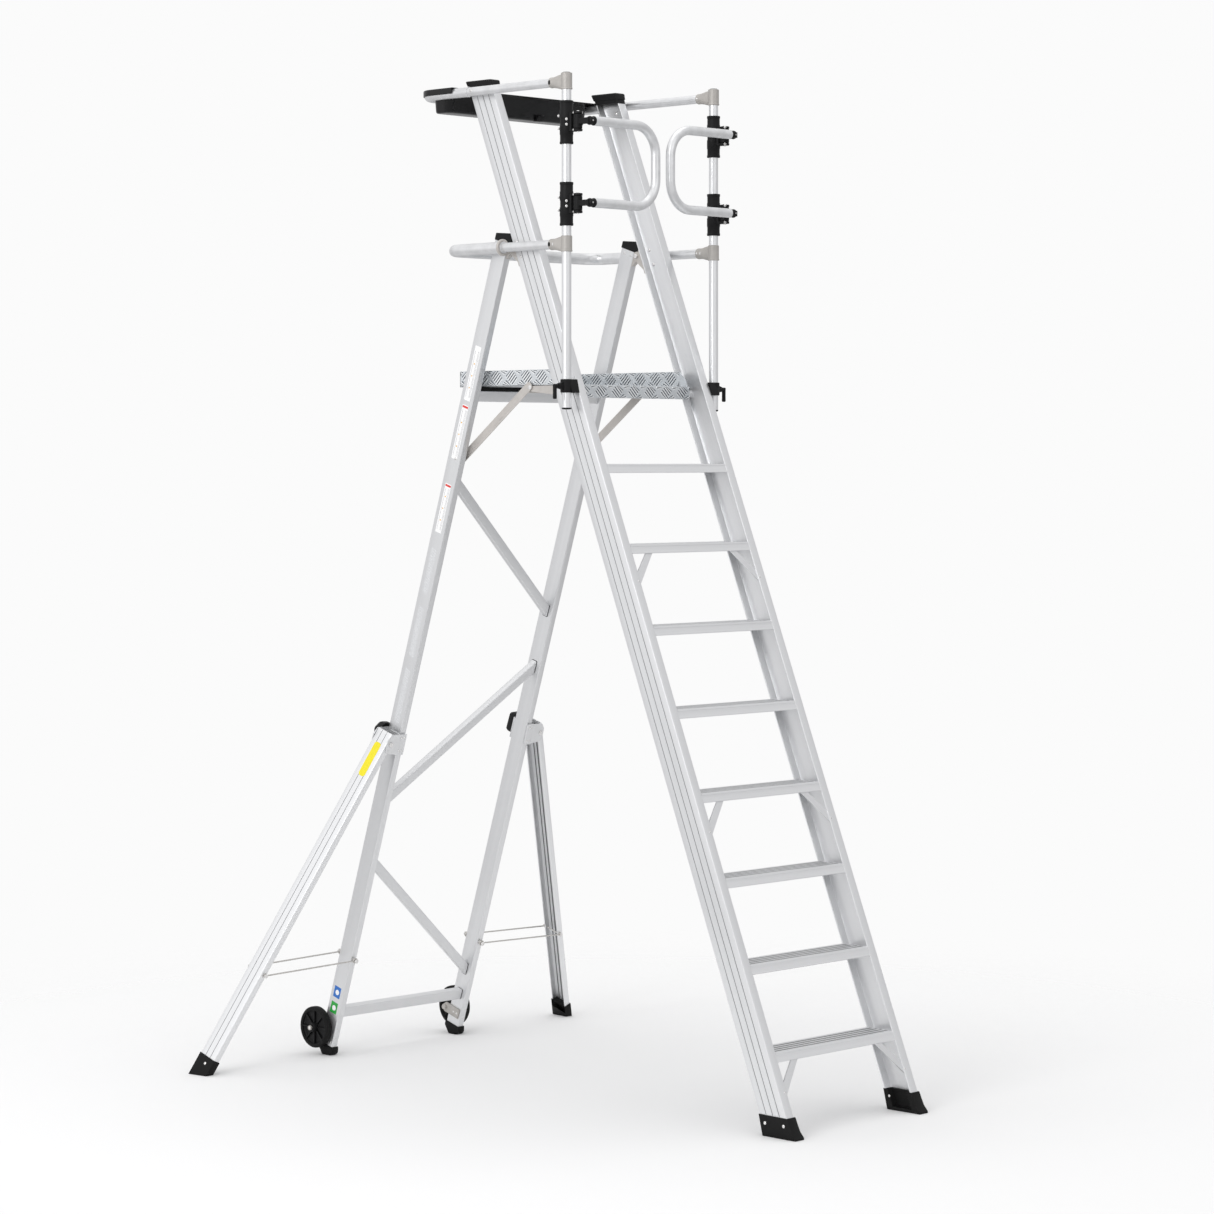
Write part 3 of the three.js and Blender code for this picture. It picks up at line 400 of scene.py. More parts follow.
def moulded(name, colour, roughness, grain_scale, strength, specular=0.5):
    """Moulded plastic or rubber: a leathery mould grain with slightly worn, shinier patches."""
    made, tree, shader = new_material(name)
    cells = textured(tree, "ShaderNodeTexVoronoi", Z, ROUND, Scale=grain_scale)
    fine = textured(tree, "ShaderNodeTexNoise", Z, ROUND, Scale=grain_scale * 1.7, Detail=2)
    worn = textured(tree, "ShaderNodeTexNoise", Z, ROUND, Scale=16, Detail=4, Roughness=0.6)
    shade = spread(tree, worn.outputs["Fac"], 0, 1)
    tree.links.new(tinted(tree, shade, scaled_colour(colour, 0.8), scaled_colour(colour, 1.35)),
                   shader.inputs["Base Color"])
    tree.links.new(spread(tree, worn.outputs["Fac"], *roughness), shader.inputs["Roughness"])
    shader.inputs["Specular IOR Level"].default_value = specular
    bumped(tree, shader, [(cells.outputs["Distance"], strength, 0.0004),
                          (fine.outputs["Fac"], strength * 0.5, 0.0003)])
    return made


def printed(name, colour, roughness=0.38, mottled=0.04):
    """A stuck-on label: printed film, faintly uneven."""
    made, tree, shader = new_material(name)
    film = textured(tree, "ShaderNodeTexNoise", Z, ROUND, Scale=160, Detail=2)
    shade = spread(tree, film.outputs["Fac"], 0, 1)
    tree.links.new(tinted(tree, shade, scaled_colour(colour, 1 - mottled),
                          scaled_colour(colour, 1 + mottled)),
                   shader.inputs["Base Color"])
    shader.inputs["Roughness"].default_value = roughness
    bumped(tree, shader, [(film.outputs["Fac"], 0.05, 0.0002)])
    return made


ALU = (0.80, 0.805, 0.815)
ALU_STILE = drawn_metal("aluminium_stile", ALU, (0, math.sin(STILE_TILT), math.cos(STILE_TILT)))
# painted shade: the legs get a darker copy of the aluminium, for how the light falls on their faces
ALU_LEG_SHADED = drawn_metal("aluminium_leg", scaled_colour(ALU, 0.95), REAR.col[2].xyz)
ALU_ACROSS = drawn_metal("aluminium_across", scaled_colour(ALU, 0.98), X)
ALU_TUBE = drawn_metal("aluminium_tube", scaled_colour(ALU, 1.03), Z, (0.3, 0.38), 0.8, 0.02)
ALU_RAIL = satin_tube("aluminium_rail", scaled_colour(ALU, 1.0))
ALU_STAB = {
    side: drawn_metal(f"aluminium_stabiliser_{side}", scaled_colour(ALU, 1.02),
                      SPLAY.col[2].xyz * Vector((sign, 1, 1)), (0.38, 0.46), 0.84, 0.015)
    for side, sign in SIDES
}
# painted shade: a dark aluminium for strips laid in the bottoms of grooves
GROOVE_SHADE = drawn_metal("groove_bed", (0.22, 0.222, 0.228), X, (0.5, 0.6), 0.5, 0.02)
# painted shadow: dark strips laid beside the checker plate's raised bars
BAR_SHADOWS = cast_metal("checker_beds", (0.13, 0.15, 0.175), (0.4, 0.55), 0.7, 500, 0.06)
CHECKER = cast_metal("checker_plate", (0.71, 0.74, 0.765), (0.3, 0.42), 0.85, 320, 0.12)
# painted highlight: the raised bars are a lighter copy of the checker plate
RAISED_HIGHLIGHT = cast_metal("checker_bars", (0.93, 0.95, 0.97), (0.2, 0.3), 0.8, 500, 0.06)
CAST = cast_metal("cast_fitting", (0.47, 0.45, 0.425), (0.4, 0.52), 0.35, 700, 0.25)
ZINC = cast_metal("zinc_plate", (0.60, 0.57, 0.54), (0.34, 0.48), 0.6, 500, 0.12)
BRIGHT = cast_metal("bright_steel", (0.80, 0.79, 0.78), (0.16, 0.28), 0.98, 400, 0.05)
STAINLESS = drawn_metal("stainless_rod", (0.60, 0.585, 0.56), X, (0.2, 0.3), 0.95, 0.04)
PLASTIC = moulded("black_plastic", (0.005, 0.005, 0.0055), (0.42, 0.58), 900, 0.2, 0.22)
TRAY_PLASTIC = moulded("tray_plastic", (0.005, 0.005, 0.0055), (0.18, 0.26), 500, 0.03, 0.3)
RUBBER = moulded("rubber", (0.0055, 0.0055, 0.0055), (0.6, 0.75), 420, 0.4, 0.2)
WHITE_FILM = printed("white_film", (0.98, 0.98, 0.98), 0.34, 0.02)
PALE_FILM = printed("pale_film", (0.72, 0.73, 0.745), 0.5, 0.08)
RED_INK = printed("red_ink", (0.75, 0.05, 0.04))
GREY_INK = printed("grey_ink", (0.22, 0.22, 0.24))
AMBER_INK = printed("amber_ink", (0.80, 0.42, 0.03))
BLUE_FILM = printed("blue_film", (0.02, 0.16, 0.55))
GREEN_FILM = printed("green_film", (0.012, 0.36, 0.04))
YELLOW_FILM = printed("yellow_film", (0.86, 0.74, 0.01))


# ---------------------------------------------------------------- pieces
FRONT, BACK = "front_frame", "rear_frame"
SLOTS = {"aluminium": "aluminium", "groove": "aluminium", "checker": "checker_plate", "cast": "steel",
         "zinc": "steel", "bright": "steel", "stainless": "steel", "black": "black_plastic",
         "tray": "black_plastic", "rubber": "rubber"}
SHARP = math.radians(34)


def softened(obj, edge, segments=2):
    """Smooth shading, with every sharp edge rounded by a bevel."""
    for face in obj.data.polygons:
        face.use_smooth = True
    if edge:
        bevel = obj.modifiers.new("edges", "BEVEL")
        bevel.width = edge * MM
        bevel.segments = segments
        bevel.limit_method = "ANGLE"
        bevel.angle_limit = SHARP
        bevel.harden_normals = True
    else:
        obj.data.set_sharp_from_angle(angle=SHARP)


def piece(name, body, material, shapes, stands_for=(), edge=0.5, segments=2, slot=None):
    """One mesh object from shapes in millimetres, riding on a CAD body.

    A slot is worked out from its material's name, unless one is given, but nothing is done with it.
    """
    mesh = bmesh.new()
    for points, faces in shapes:
        made = [mesh.verts.new(Vector((x * MM, (y - MIDDLE_Y) * MM, z * MM))) for x, y, z in points]
        for face in faces:
            mesh.faces.new([made[i] for i in face])
    bmesh.ops.recalc_face_normals(mesh, faces=mesh.faces)
    data = bpy.data.meshes.new(name)
    mesh.to_mesh(data)
    mesh.free()
    data.materials.append(material)
    obj = bpy.data.objects.new(name, data)
    scene.collection.objects.link(obj)
    softened(obj, edge, segments)
    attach(obj, body)
    kind = material.name.replace(".", "_").split("_")[0]  # a name that the frame has taken gets .001
    slot = slot or SLOTS.get(kind)
    if stands_for:
        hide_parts(*stands_for)


def pair(name, body, material, shapes, place=None, cad=False, **options):
    """A piece on the right and its mirror image on the left, from shapes drawn for the right side.

    Shapes on the rear frame are drawn along its legs. A body other than a frame has one of its own on each
    side, and cad says that the pieces stand for the CAD nodes of the same name.
    """
    node, part = name.split(".")
    if body == BACK:
        place = REAR
    for side, sign in SIDES:
        made = [flipped(placed(s, place) if place else s, sign) for s in shapes]
        piece(f"{node}_{side}.{part}", body if body in (FRONT, BACK) else f"{body}_{side}",
              material[side] if isinstance(material, dict) else material, made,
              [f"{node}_{side}"] if cad else (), **options)


def finished(nodes, material, edge=0.5):
    """CAD nodes that keep their shape: their material, merged flat faces and rounded edges."""
    for node in nodes:
        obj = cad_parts[node]
        obj.data.materials.clear()
        obj.data.materials.append(material)
        obj.modifiers.new("merge", "WELD").merge_threshold = 0.00002
        flat = obj.modifiers.new("flat", "DECIMATE")
        flat.decimate_type = "DISSOLVE"
        flat.angle_limit = math.radians(1)
        softened(obj, edge)


def both(node):
    return [f"{node}_{side}" for side, _ in SIDES]


def on_both_sides(shapes):
    return [flipped(s, sign) for _, sign in SIDES for s in shapes]


def leaning(outline, z0, z1):
    """A level (x, y) outline extruded up the stile's slope."""
    points = [(x, y + stile_front(z), z) for z in (z0, z1) for x, y in outline]
    return points, prism(outline, 0, 1, "z")[1]


def lean(points):
    """(y, z) points measured from the stile's front moved onto its slope."""
    return [(y + stile_front(z), z) for y, z in points]


def grooved(start, end, level, depth, count, wide):
    """Points from start to end at a level, with even square grooves cut into it."""
    half = math.copysign(wide / 2, end - start)
    points = [(start, level)]
    for k in range(1, count + 1):
        at = start + (end - start) * k / (count + 1)
        points += [(at - half, level), (at - half, level - depth)]
        points += [(at + half, level - depth), (at + half, level)]
    points.append((end, level))
    return points


def bed_spans(start, end, count, wide):
    """Where the bottoms of even grooves lie. Strips there get a dark colour: painted shade in the grooves."""
    step = (end - start) / (count + 1)
    return [(start + step * k - wide / 2, start + step * k + wide / 2) for k in range(1, count + 1)]


def swapped(points):
    return [(b, a) for a, b in points]


# Stiles: channels with grooved webs and a bead along each flange's edge.
LIP = 4.8
INNER = STILE_OUT - STILE_WALL
back_lip, back_wall = STILE_DEPTH - LIP, STILE_DEPTH - FLANGE
web = swapped(grooved(0, STILE_DEPTH, STILE_OUT, 2.0, 3, 2.8))
outline = [(STILE_IN, 0), *web, (STILE_IN, STILE_DEPTH), (STILE_IN, back_lip), (STILE_IN + 4, back_lip),
           (STILE_IN + 6, back_wall), (INNER, back_wall), (INNER, FLANGE), (STILE_IN + 6, FLANGE),
           (STILE_IN + 4, LIP), (STILE_IN, LIP)]
radii = [1.2, 1.6] + [0] * (len(web) - 2) + [1.6, 1.2, 1, 0, 0, 2, 2, 0, 0, 1]
channel = leaning(rounded(outline, radii, 3), STILE_BOTTOM, STILE_TOP)
bush = pipe((0, PIVOT_Y, PIVOT_Z), X, 11.5, 6.4, STILE_IN + 3, STILE_OUT - 1)
pair("stile.channel", FRONT, ALU_STILE, [channel, bush], cad=True, edge=0.3)
# dark strips in the bottoms of the web's grooves: painted shade
shade_strips = [leaning(box_outline(STILE_OUT - 2.1, STILE_OUT - 1.3, a, b), STILE_BOTTOM + 40, STILE_TOP)
        for a, b in bed_spans(0, STILE_DEPTH, 3, 2.6)]
pair("stile.groove_beds", FRONT, GROOVE_SHADE, shade_strips, edge=0)
heads = [dome((INNER, stile_front(z) + at, z), LEFT, 6, 3.2) for z,
         at in ((3163, 52), (2700, 84), (2652, 84))]
heads += [dome((STILE_OUT, stile_front(z) + 88, z), X, 5, 1.6) for z in (2700, 2652)]
pair("stile.rivets", FRONT, BRIGHT, heads, edge=0)

# Stile caps: a skirt round the section, and a lid that overhangs it and spreads towards its level top.
rings = []
for up, grow in ((0.4, 0.5), (14, 1.0), (14, 3.0), (32, 5.0), (35, 3.0)):
    flat = rounded(box_outline(STILE_IN - 1 - grow, STILE_OUT + grow, -1 - grow, STILE_DEPTH + grow), 4, 4)
    rings.append([(x, y + stile_front(STILE_TOP + up), STILE_TOP + up) for x, y in flat])
pair("stile_cap.lid", FRONT, PLASTIC, [loft(rings)], cad=True, edge=0.8, segments=3)

# Front feet keep their shape. Each gets screws, a ribbed sole edge and lips over the flanges.
finished(both("front_foot"), RUBBER, 1.4)
screws = [screw((STILE_OUT + 3, y, z), X, 5.2, 2) for y, z in ((106, 39), (33, 38.5))]
screws.append(screw((STILE_IN - 2.6, 108, 42), LEFT, 4, 1.5))
pair("front_foot.screws", FRONT, BRIGHT, screws, edge=0)
ribs = [prism(box_outline(y, y + 4, 1.2, 9), STILE_OUT + 2.6, STILE_OUT + 3.7, "x") for y in range(-6, 112,
                                                                                                   9)]
for a, b in ((-1.2, 6), (STILE_DEPTH - 6, STILE_DEPTH + 1)):
    ribs.append(leaning(box_outline(STILE_IN - 2.8, STILE_IN - 0.3, a, b), 20, 62))
pair("front_foot.grip", FRONT, RUBBER, ribs, edge=0.3)

# Treads: a ribbed box with a nose line, end plugs and, on some, braces.
TREAD_GROOVES, TREAD_GROOVE_WIDE, TREAD_GROOVE_DEEP = 4, 13, 6


def tread_shapes(z):
    low = z - TREAD_HIGH
    nose = [(0.9, z - 6.5), (0.9, low + 4), (0, low + 3), (0, low)]
    top = grooved(STILE_DEPTH, 0, z, TREAD_GROOVE_DEEP, TREAD_GROOVES, TREAD_GROOVE_WIDE)
    outline = lean([*nose, (STILE_DEPTH, low), *top, (0, z - 5.5)])
    radii = [0] * 3 + [1.5, 1.5, 1.8] + [0] * (len(top) - 2) + [1.8, 0]
    body = prism(rounded(outline, radii, 3), 0.4 - STILE_IN, STILE_IN - 0.4, "x")
    reach = INNER - 0.4
    tongue = lean(box_outline(LIP + 0.4, STILE_DEPTH - LIP - 0.4, low + 0.6, z - 7))
    return [body, prism(tongue, -reach, reach, "x")]


def brace_shapes(z):
    under = z - TREAD_HIGH + 1
    edge = STILE_IN + 14
    flat = rounded([(180, under), (210, under), (edge, z - 101), (edge, z - 137)], 1)
    bead = [(186, under), (189, under), (edge, z - 109), (edge, z - 105)]
    slope = Matrix(((1, 0, 0, 0), (0, 1, TAN, FLANGE + 0.4), (0, 0, 1, 0), (0, 0, 0, 1)))
    return [placed(prism(flat, 0, 4, "y"), slope), placed(prism(bead, 4, 9, "y"), slope)]


for k in range(1, TREAD_COUNT + 1):
    z = TREAD_FIRST + (k - 1) * TREAD_RISE
    shapes = tread_shapes(z)
    if k in BRACED:
        shapes += on_both_sides(brace_shapes(z))
        head = dome((STILE_IN + 7, stile_front(z - 112) + 0.2, z - 112), (0, -1, 0.3), 3.4, 1.6)
        piece(f"tread_{k}.rivets", FRONT, BRIGHT, on_both_sides([head]), edge=0)
    piece(f"tread_{k}.board", FRONT, ALU_ACROSS, shapes, [f"tread_{k}"], edge=0.35)
    # dark strips in the bottoms of the tread's grooves: painted shade
    shade_strips = [prism(lean(box_outline(a, b, z - TREAD_GROOVE_DEEP - 0.2, z - 0.6)), 1 - STILE_IN, STILE_IN - 1,
                  "x")
            for a, b in bed_spans(0, STILE_DEPTH, TREAD_GROOVES, TREAD_GROOVE_WIDE - 0.4)]
    piece(f"tread_{k}.groove_beds", FRONT, GROOVE_SHADE, shade_strips, edge=0)

# Top hinges: a leaf and two ears on the stile, the pin with its nut, and the ring that holds the mid rail.
back = STILE_DEPTH + 0.4
hinge = (0, HINGE_Y, HINGE_Z)
leaf = leaning(rounded(box_outline(STILE_IN + 1, STILE_OUT - 1, back, back + 4), 1), 2622, 2700)
ear = rounded([(stile_front(2636) + back + 1, 2632), (HINGE_Y + 10, HINGE_Z - 12),
               (HINGE_Y + 13, HINGE_Z + 12),
               (HINGE_Y - 4, HINGE_Z + 15), (stile_front(2690) + back + 1, 2694)], [2, 10, 12, 8, 2], 5)
ears = [prism(ear, x, x + 3, "x") for x in (STILE_IN + 2, STILE_OUT - 7)]
bore = MID_R + 0.4
ring = lathe([(bore, -4), (25.5, -4), (27, -2.5), (27, 2.5), (25.5, 4), (bore, 4), (bore, -4)],
             (POST_X, HINGE_Y, MID_Z), Y, 56)
neck = rod(hinge, X, 5.6, STILE_OUT - 3, POST_X - 20)
pair("top_hinge.plates", FRONT, ZINC, [leaf, *ears, ring, neck], cad=True, edge=0.6)
pin = [rod(hinge, X, 5, STILE_IN - 3, STILE_OUT - 2), hexagon((STILE_IN + 2, HINGE_Y, HINGE_Z), LEFT, 15, 0,
                                                              6),
       rod(hinge, X, 9, STILE_OUT - 3.6, STILE_OUT - 2)]
pair("top_hinge.pin", FRONT, BRIGHT, pin, edge=0.3)

# Guard posts with a plug in the foot and a disc on top.
axis = (POST_X, POST_Y, 0)
tube = rod(axis, Z, POST_R, POST_BOTTOM + 3, POST_TOP, 0.4, 48)
pair("guard_post.tube", FRONT, ALU_TUBE, [tube], cad=True, edge=0.2)
plug = [(r, POST_BOTTOM + up) for r, up in ((0, 0), (12, 0), (POST_R - 0.3, 1.8), (POST_R + 0.3, 4),
                                            (POST_R + 0.3, 5.5), (POST_R - 3, 5.5), (0, 5.5))]
pair("guard_post.plug", FRONT, PLASTIC, [lathe(plug, axis, Z, 48)], edge=0.3)
disc = [(r, POST_TOP + up) for r, up in ((0, -1), (POST_R - 0.4, -1), (POST_R - 0.4, 2), (11, 4.2), (0, 5))]
pair("guard_post.disc", FRONT, PLASTIC, [lathe(disc, axis, Z, 48)], edge=0.3)


# Rails: a bent loop with a straight arm at each end.
def loop_path(z, back, start, bend):
    corners = [(-POST_X, start), (-POST_X, back), (POST_X, back), (POST_X, start)]
    return [Vector((x, y, z)) for x, y in rounded(corners, bend, 14, closed=False)]


UP = Vector(Z)
STAY_BOLT_Y = 1328
spacer = STILE_OUT + 2.5
axis = (POST_X, 0, RAIL_Z)
across = (0, STAY_BOLT_Y, RAIL_Z)
arm = rod(axis, Y, RAIL_R - 1.8, SOCKET_Y - 20, HINGE_Y + 160, 0.5, 36)
collar = pipe(axis, Y, RAIL_R + 0.9, RAIL_R - 2, HINGE_Y + 154, HINGE_Y + 159, 0.8, 36)
upper = [sweep(loop_path(RAIL_Z, RAIL_BACK, HINGE_Y + 156, RAIL_BEND), UP, circle(RAIL_R, 36))]
piece("upper_rail.tube", FRONT, ALU_RAIL, upper + on_both_sides([arm, collar]), ["upper_rail"], edge=0.3)
bolts = [rod(across, X, 8, spacer, POST_X - 11), rod(across, X, 11, spacer, spacer + 5, 1.5),
         screw((POST_X + RAIL_R - 2.4, STAY_BOLT_Y, RAIL_Z + 2), X, 5, 2.2)]
piece("upper_rail.bolts", FRONT, BRIGHT, on_both_sides(bolts), edge=0.4)

middle = [sweep(loop_path(MID_Z, MID_BACK, HINGE_Y - 6, RAIL_BEND + 4), UP, circle(MID_R, 36))]
middle += on_both_sides([rod((POST_X, 0, MID_Z), Y, POST_R, SOCKET_Y - 20, HINGE_Y + 60, 0.5, 36)])
piece("mid_rail.tube", FRONT, ALU_RAIL, middle, ["mid_rail"], edge=0.8)


# Fittings: a cast tee that tapers from the post's sleeve to the rail's socket, with a button and a rivet.
def oval(half_x, half_z, y, z, power, count=40):
    """A ring between a circle and a rectangle, level with a rail."""
    ring = []
    for k in range(count):
        a = 2 * math.pi * k / count
        c, s = math.cos(a), math.sin(a)
        ring.append((POST_X + math.copysign(abs(c) ** (2 / power), c) * half_x, y,
                     z + math.copysign(abs(s) ** (2 / power), s) * half_z))
    return ring


TAPER = ((8, 23, 12, 4), (10, 23, 20, 4), (11.5, 22, 28, 3.4), (13, 19.5, 38, 2.9), (14.6, 17.8, 48, 2.4))
for level, z, socket, top in (("upper", RAIL_Z, RAIL_R + 1, POST_TOP + 2),
                              ("mid", MID_Z, POST_R + 2.8, MID_Z + 25)):
    post = (POST_X, POST_Y, 0)
    sleeve = pipe(post, Z, 17.8, POST_R + 0.1, z - 25, top, 1.6, 48)
    collar = pipe(post, Z, 18.7, POST_R + 1, z - 25, z - 19, 1.2, 48)
    rings = [oval(half_x, half_z, POST_Y + y, z, power) for half_x, half_z, y, power in TAPER]
    rings += [oval(socket - 0.6, socket - 0.2, POST_Y + 57, z, 2), oval(socket, socket, POST_Y + 61, z, 2),
              oval(socket, socket, SOCKET_Y, z, 2)]
    pair(f"{level}_fitting.casting", FRONT, CAST, [sleeve, collar, loft(rings)], cad=True, edge=0.8)
    button = loft([[(x * 1.55, y, t) for x, y in circle(r, 28)]
                   for r, t in ((4.6, -1), (4.6, 1.2), (4.1, 2), (2.8, 2.6))])
    turned = pointing((POST_X + socket - 1.6, SOCKET_Y - 5, z), X) @ Matrix.Rotation(math.pi / 2, 4, "Z")
    pair(f"{level}_fitting.button", FRONT, PLASTIC, [placed(button, turned)], edge=0.3)
    rivet = dome((POST_X - socket + 0.6, SOCKET_Y - 6, z), LEFT, 3.6, 2)
    pair(f"{level}_fitting.rivet", FRONT, BRIGHT, [rivet], edge=0)

# Tool tray: a rim that sweeps round the rails over a lofted tub.
TRAY_FRONT, TRAY_TOP, RIM_FRONT, TUB_DEEP = 1450, RAIL_Z + RAIL_R + 0.5, 1412, 72
TUB_LOW = TRAY_TOP - TUB_DEEP
rim_section = rounded([(20, -2), (20, 18.5), (-20, 18.5), (-20, 14), (17.2, 14), (17.2, -2)],
                      [1, 4, 3, 1, 3, 1], 4)


def tub_ring(inset, z, radius):
    drop = (TRAY_TOP - z) / TUB_DEEP
    half_x = POST_X - 17 - inset - 5 * drop
    front = TRAY_FRONT + 20 * drop + inset
    back = RAIL_BACK - 16 - 14 * drop - inset
    return [(x, y, z) for x, y in rounded(box_outline(-half_x, half_x, front, back), radius, 8)]


outside = ((9, 0, 16), (4, 0.8, 20), (1.2, 3.2, 23), (0, 8, 26), (0, TUB_DEEP - 3, 42))
rim = ((-3.2, -0.5, 42), (-3.4, 2, 42), (-1, 2.6, 42), (3, 1, 40))
inside = ((3, 11, 24), (4.2, 6, 20), (9, 3, 14))
tray = [sweep(loop_path(RAIL_Z, RAIL_BACK, RIM_FRONT, RAIL_BEND), UP, [(-a, b) for a, b in rim_section]),
        loft([tub_ring(inset, TUB_LOW + up, radius) for inset, up, radius in outside]
             + [tub_ring(inset, TRAY_TOP + up, radius) for inset, up, radius in rim]
             + [tub_ring(inset, TUB_LOW + up, radius) for inset, up, radius in inside]),
        block(18 - POST_X, POST_X - 18, TRAY_FRONT - 12, TRAY_FRONT + 3, TRAY_TOP - 1.5, TRAY_TOP + 2, "z",
              2)]
for x in (-160, 0, 160):
    tray.append(block(x - 2, x + 2, TRAY_FRONT + 24, RAIL_BACK - 34, TUB_LOW + 2, TUB_LOW + 7, "z", 1.5))
piece("tool_tray.shell", FRONT, TRAY_PLASTIC, tray, ["tool_tray"], edge=0.6)
catch = rounded([(TRAY_FRONT + y, TUB_LOW + z) for y, z in ((2, 14), (14, -1), (30, -1), (30, 4), (15, 18))],
                2)
piece("tool_tray.catches", FRONT, PLASTIC, [prism(catch, x - 14, x + 14, "x") for x in (-90, 90)], edge=0.8)

# Gates: a bent tube on two hinged arms, and sleeves on the post that carry the hinge pins.
ARM_NECK = ((0, 1), (14.2, 1), (14.8, -1), (14.8, -3), (12.4, -5), (10.8, -8), (11.4, -11.5), (13.4, -14.5),
            (14.2, -18), (13.2, -22), (10.2, -25), (5, -26.6), (0, -27))


def gate_arm(z):
    """The barrel on the hinge pin and the neck and plug that go into the gate's tube."""
    plate = rounded([(POST_X - 13, GATE_Y - 2), (POST_X + 7, GATE_Y - 7), (POST_X + 10, GATE_PIVOT_Y),
                     (POST_X - 10, GATE_PIVOT_Y)], 3)
    return [pipe((POST_X, GATE_PIVOT_Y, z), Z, 14, 5.3, -22.4, 22.4, 1.5), prism(plate, z - 9, z + 9, "z"),
            lathe(ARM_NECK, (GATE_NEAR_X - 1, GATE_Y, z), LEFT)]


heights = [z for _, z in GATE_LEVELS]
corners = [(GATE_NEAR_X, heights[0]), (GATE_FAR_X, heights[0]), (GATE_FAR_X, heights[1]),
           (GATE_NEAR_X, heights[1])]
gate_path = [Vector((x, GATE_Y, z)) for x, z in rounded(corners, GATE_BEND, 14, closed=False)]
pair("gate.tube", "gate", ALU_RAIL, [sweep(gate_path, Vector(Y), circle(POST_R, 36))], cad=True, edge=0.8)
pair("gate.arms", "gate", PLASTIC, [s for z in heights for s in gate_arm(z)], edge=0.8)
tips = [screw((GATE_NEAR_X + 25.5, GATE_Y, z), X, 3.6, 2.4) for z in heights]
tips += [screw((GATE_NEAR_X + 16, GATE_Y - 13.4, z), (0, -1, 0), 2.6, 1.2) for z in heights]
pair("gate.screws", "gate", BRIGHT, tips, edge=0)

DIAGONAL = (1, -1, 0)
SLEEVE_IN = POST_R + 0.1
SLEEVE_HALF_PROFILE = ((SLEEVE_R, 12), (SLEEVE_R, 38), (SLEEVE_R - 1.1, 40),
                       (SLEEVE_R - 1.1, SLEEVE_HALF - 8.4),
                       (SLEEVE_R, SLEEVE_HALF - 7), (SLEEVE_R, SLEEVE_HALF - 1), (SLEEVE_R - 1, SLEEVE_HALF))


def around_post(degrees, radius, z):
    """A place round the post: 0 degrees is the gate's side, 90 outwards, 180 the back."""
    turn = math.radians(degrees)
    return POST_X + radius * math.sin(turn), POST_Y - radius * math.cos(turn), z


waist = SLEEVE_R - 1.4
profile = [(SLEEVE_IN, -SLEEVE_HALF), *[(r, -t) for r, t in reversed(SLEEVE_HALF_PROFILE)], (waist, -10),
           (waist, 10), *SLEEVE_HALF_PROFILE, (SLEEVE_IN, SLEEVE_HALF), (SLEEVE_IN, -SLEEVE_HALF)]
for level, z in GATE_LEVELS:
    sleeve = [lathe(profile, (POST_X, POST_Y, z), Z, 48),
              block(POST_X - 10, POST_X + 10, POST_Y - 30, POST_Y - 12, z - 30, z + 30, "z", 3)]
    for low in (-31, 23):
        sleeve.append(block(POST_X - 9.5, POST_X + 9.5, GATE_PIVOT_Y, POST_Y - 16, z + low, z + low + 8, "z",
                            2))
        sleeve.append(rod((POST_X, GATE_PIVOT_Y, z), Z, 14.5, low, low + 8, 1.2))
    sleeve += [rod(around_post(135, SLEEVE_R - 6, z + h), DIAGONAL, 7, -8, 8, 1.5, 28) for h in (-20, 20)]
    ear = [(POST_X + 4, POST_Y - 24), (POST_X + 21, POST_Y - 8), (POST_X + 14, POST_Y - 1),
           (POST_X - 3, POST_Y - 17)]
    sleeve.append(prism(rounded(ear, 2), z - 17, z + 17, "z"))
    pair(f"gate_sleeve_{level}.body", FRONT, PLASTIC, sleeve, cad=True, edge=1.0)
    heads = [screw(around_post(45, SLEEVE_R + 1.2, z + h), DIAGONAL, 4.4, 2.2) for h in (-8, 8)]
    heads += [screw(around_post(135, SLEEVE_R + 3, z + h), DIAGONAL, 4.2, 2.2) for h in (-20, 20)]
    heads += [screw((POST_X + 9, GATE_PIVOT_Y + 8, z + h), DIAGONAL, 4.2, 2.2) for h in (-27, 27)]
    heads += [screw((POST_X, GATE_PIVOT_Y, z + 31 * up), (0, 0, up), 5.2, 2.6) for up in (1, -1)]
    heads += [screw((POST_X - 9, GATE_PIVOT_Y - 9, z + h), (-1, -1, 0), 4.2, 2.2) for h in (27, -27)]
    pair(f"gate_sleeve_{level}.screws", FRONT, BRIGHT, heads, edge=0)

# Post clamps with their turning handles.
CLAMP_Z = 2237
CLAMP_LOW, CLAMP_HIGH = 20.5, 21.5
grip_x = 390.7
wedge = rounded([(stile_front(CLAMP_Z) - 11, CLAMP_Z - CLAMP_LOW), (POST_Y + 18, CLAMP_Z - CLAMP_LOW),
                 (POST_Y + 18, CLAMP_Z + CLAMP_HIGH), (stile_front(CLAMP_Z) - 1, CLAMP_Z + CLAMP_HIGH)], 2)
horn = rounded([(POST_X + x, CLAMP_Z + z) for x, z in ((10, -15), (34, -7), (34, 7), (10, 16))], 2)
axis = (0, POST_Y + 1, CLAMP_Z)
holder = [prism(wedge, STILE_OUT + 0.4, POST_X, "x"),
          pipe((POST_X, POST_Y, CLAMP_Z), Z, 19.5, POST_R + 0.1, -CLAMP_LOW, CLAMP_HIGH, 1.5, 48),
          pipe(axis, X, 8.6, 4.2, POST_X + 16, POST_X + 38), prism(horn, POST_Y - 6, POST_Y + 8, "y")]
pair("post_clamp.body", FRONT, PLASTIC, holder, cad=True, edge=1.0)
grip = [(0, -41), (4.6, -40.6), (6.1, -38.6), (6.5, -35), (6.1, -20), (6.3, -8), (6.5, 0), (6.4, 4), (5, 5.8),
        (0, 6.2)]
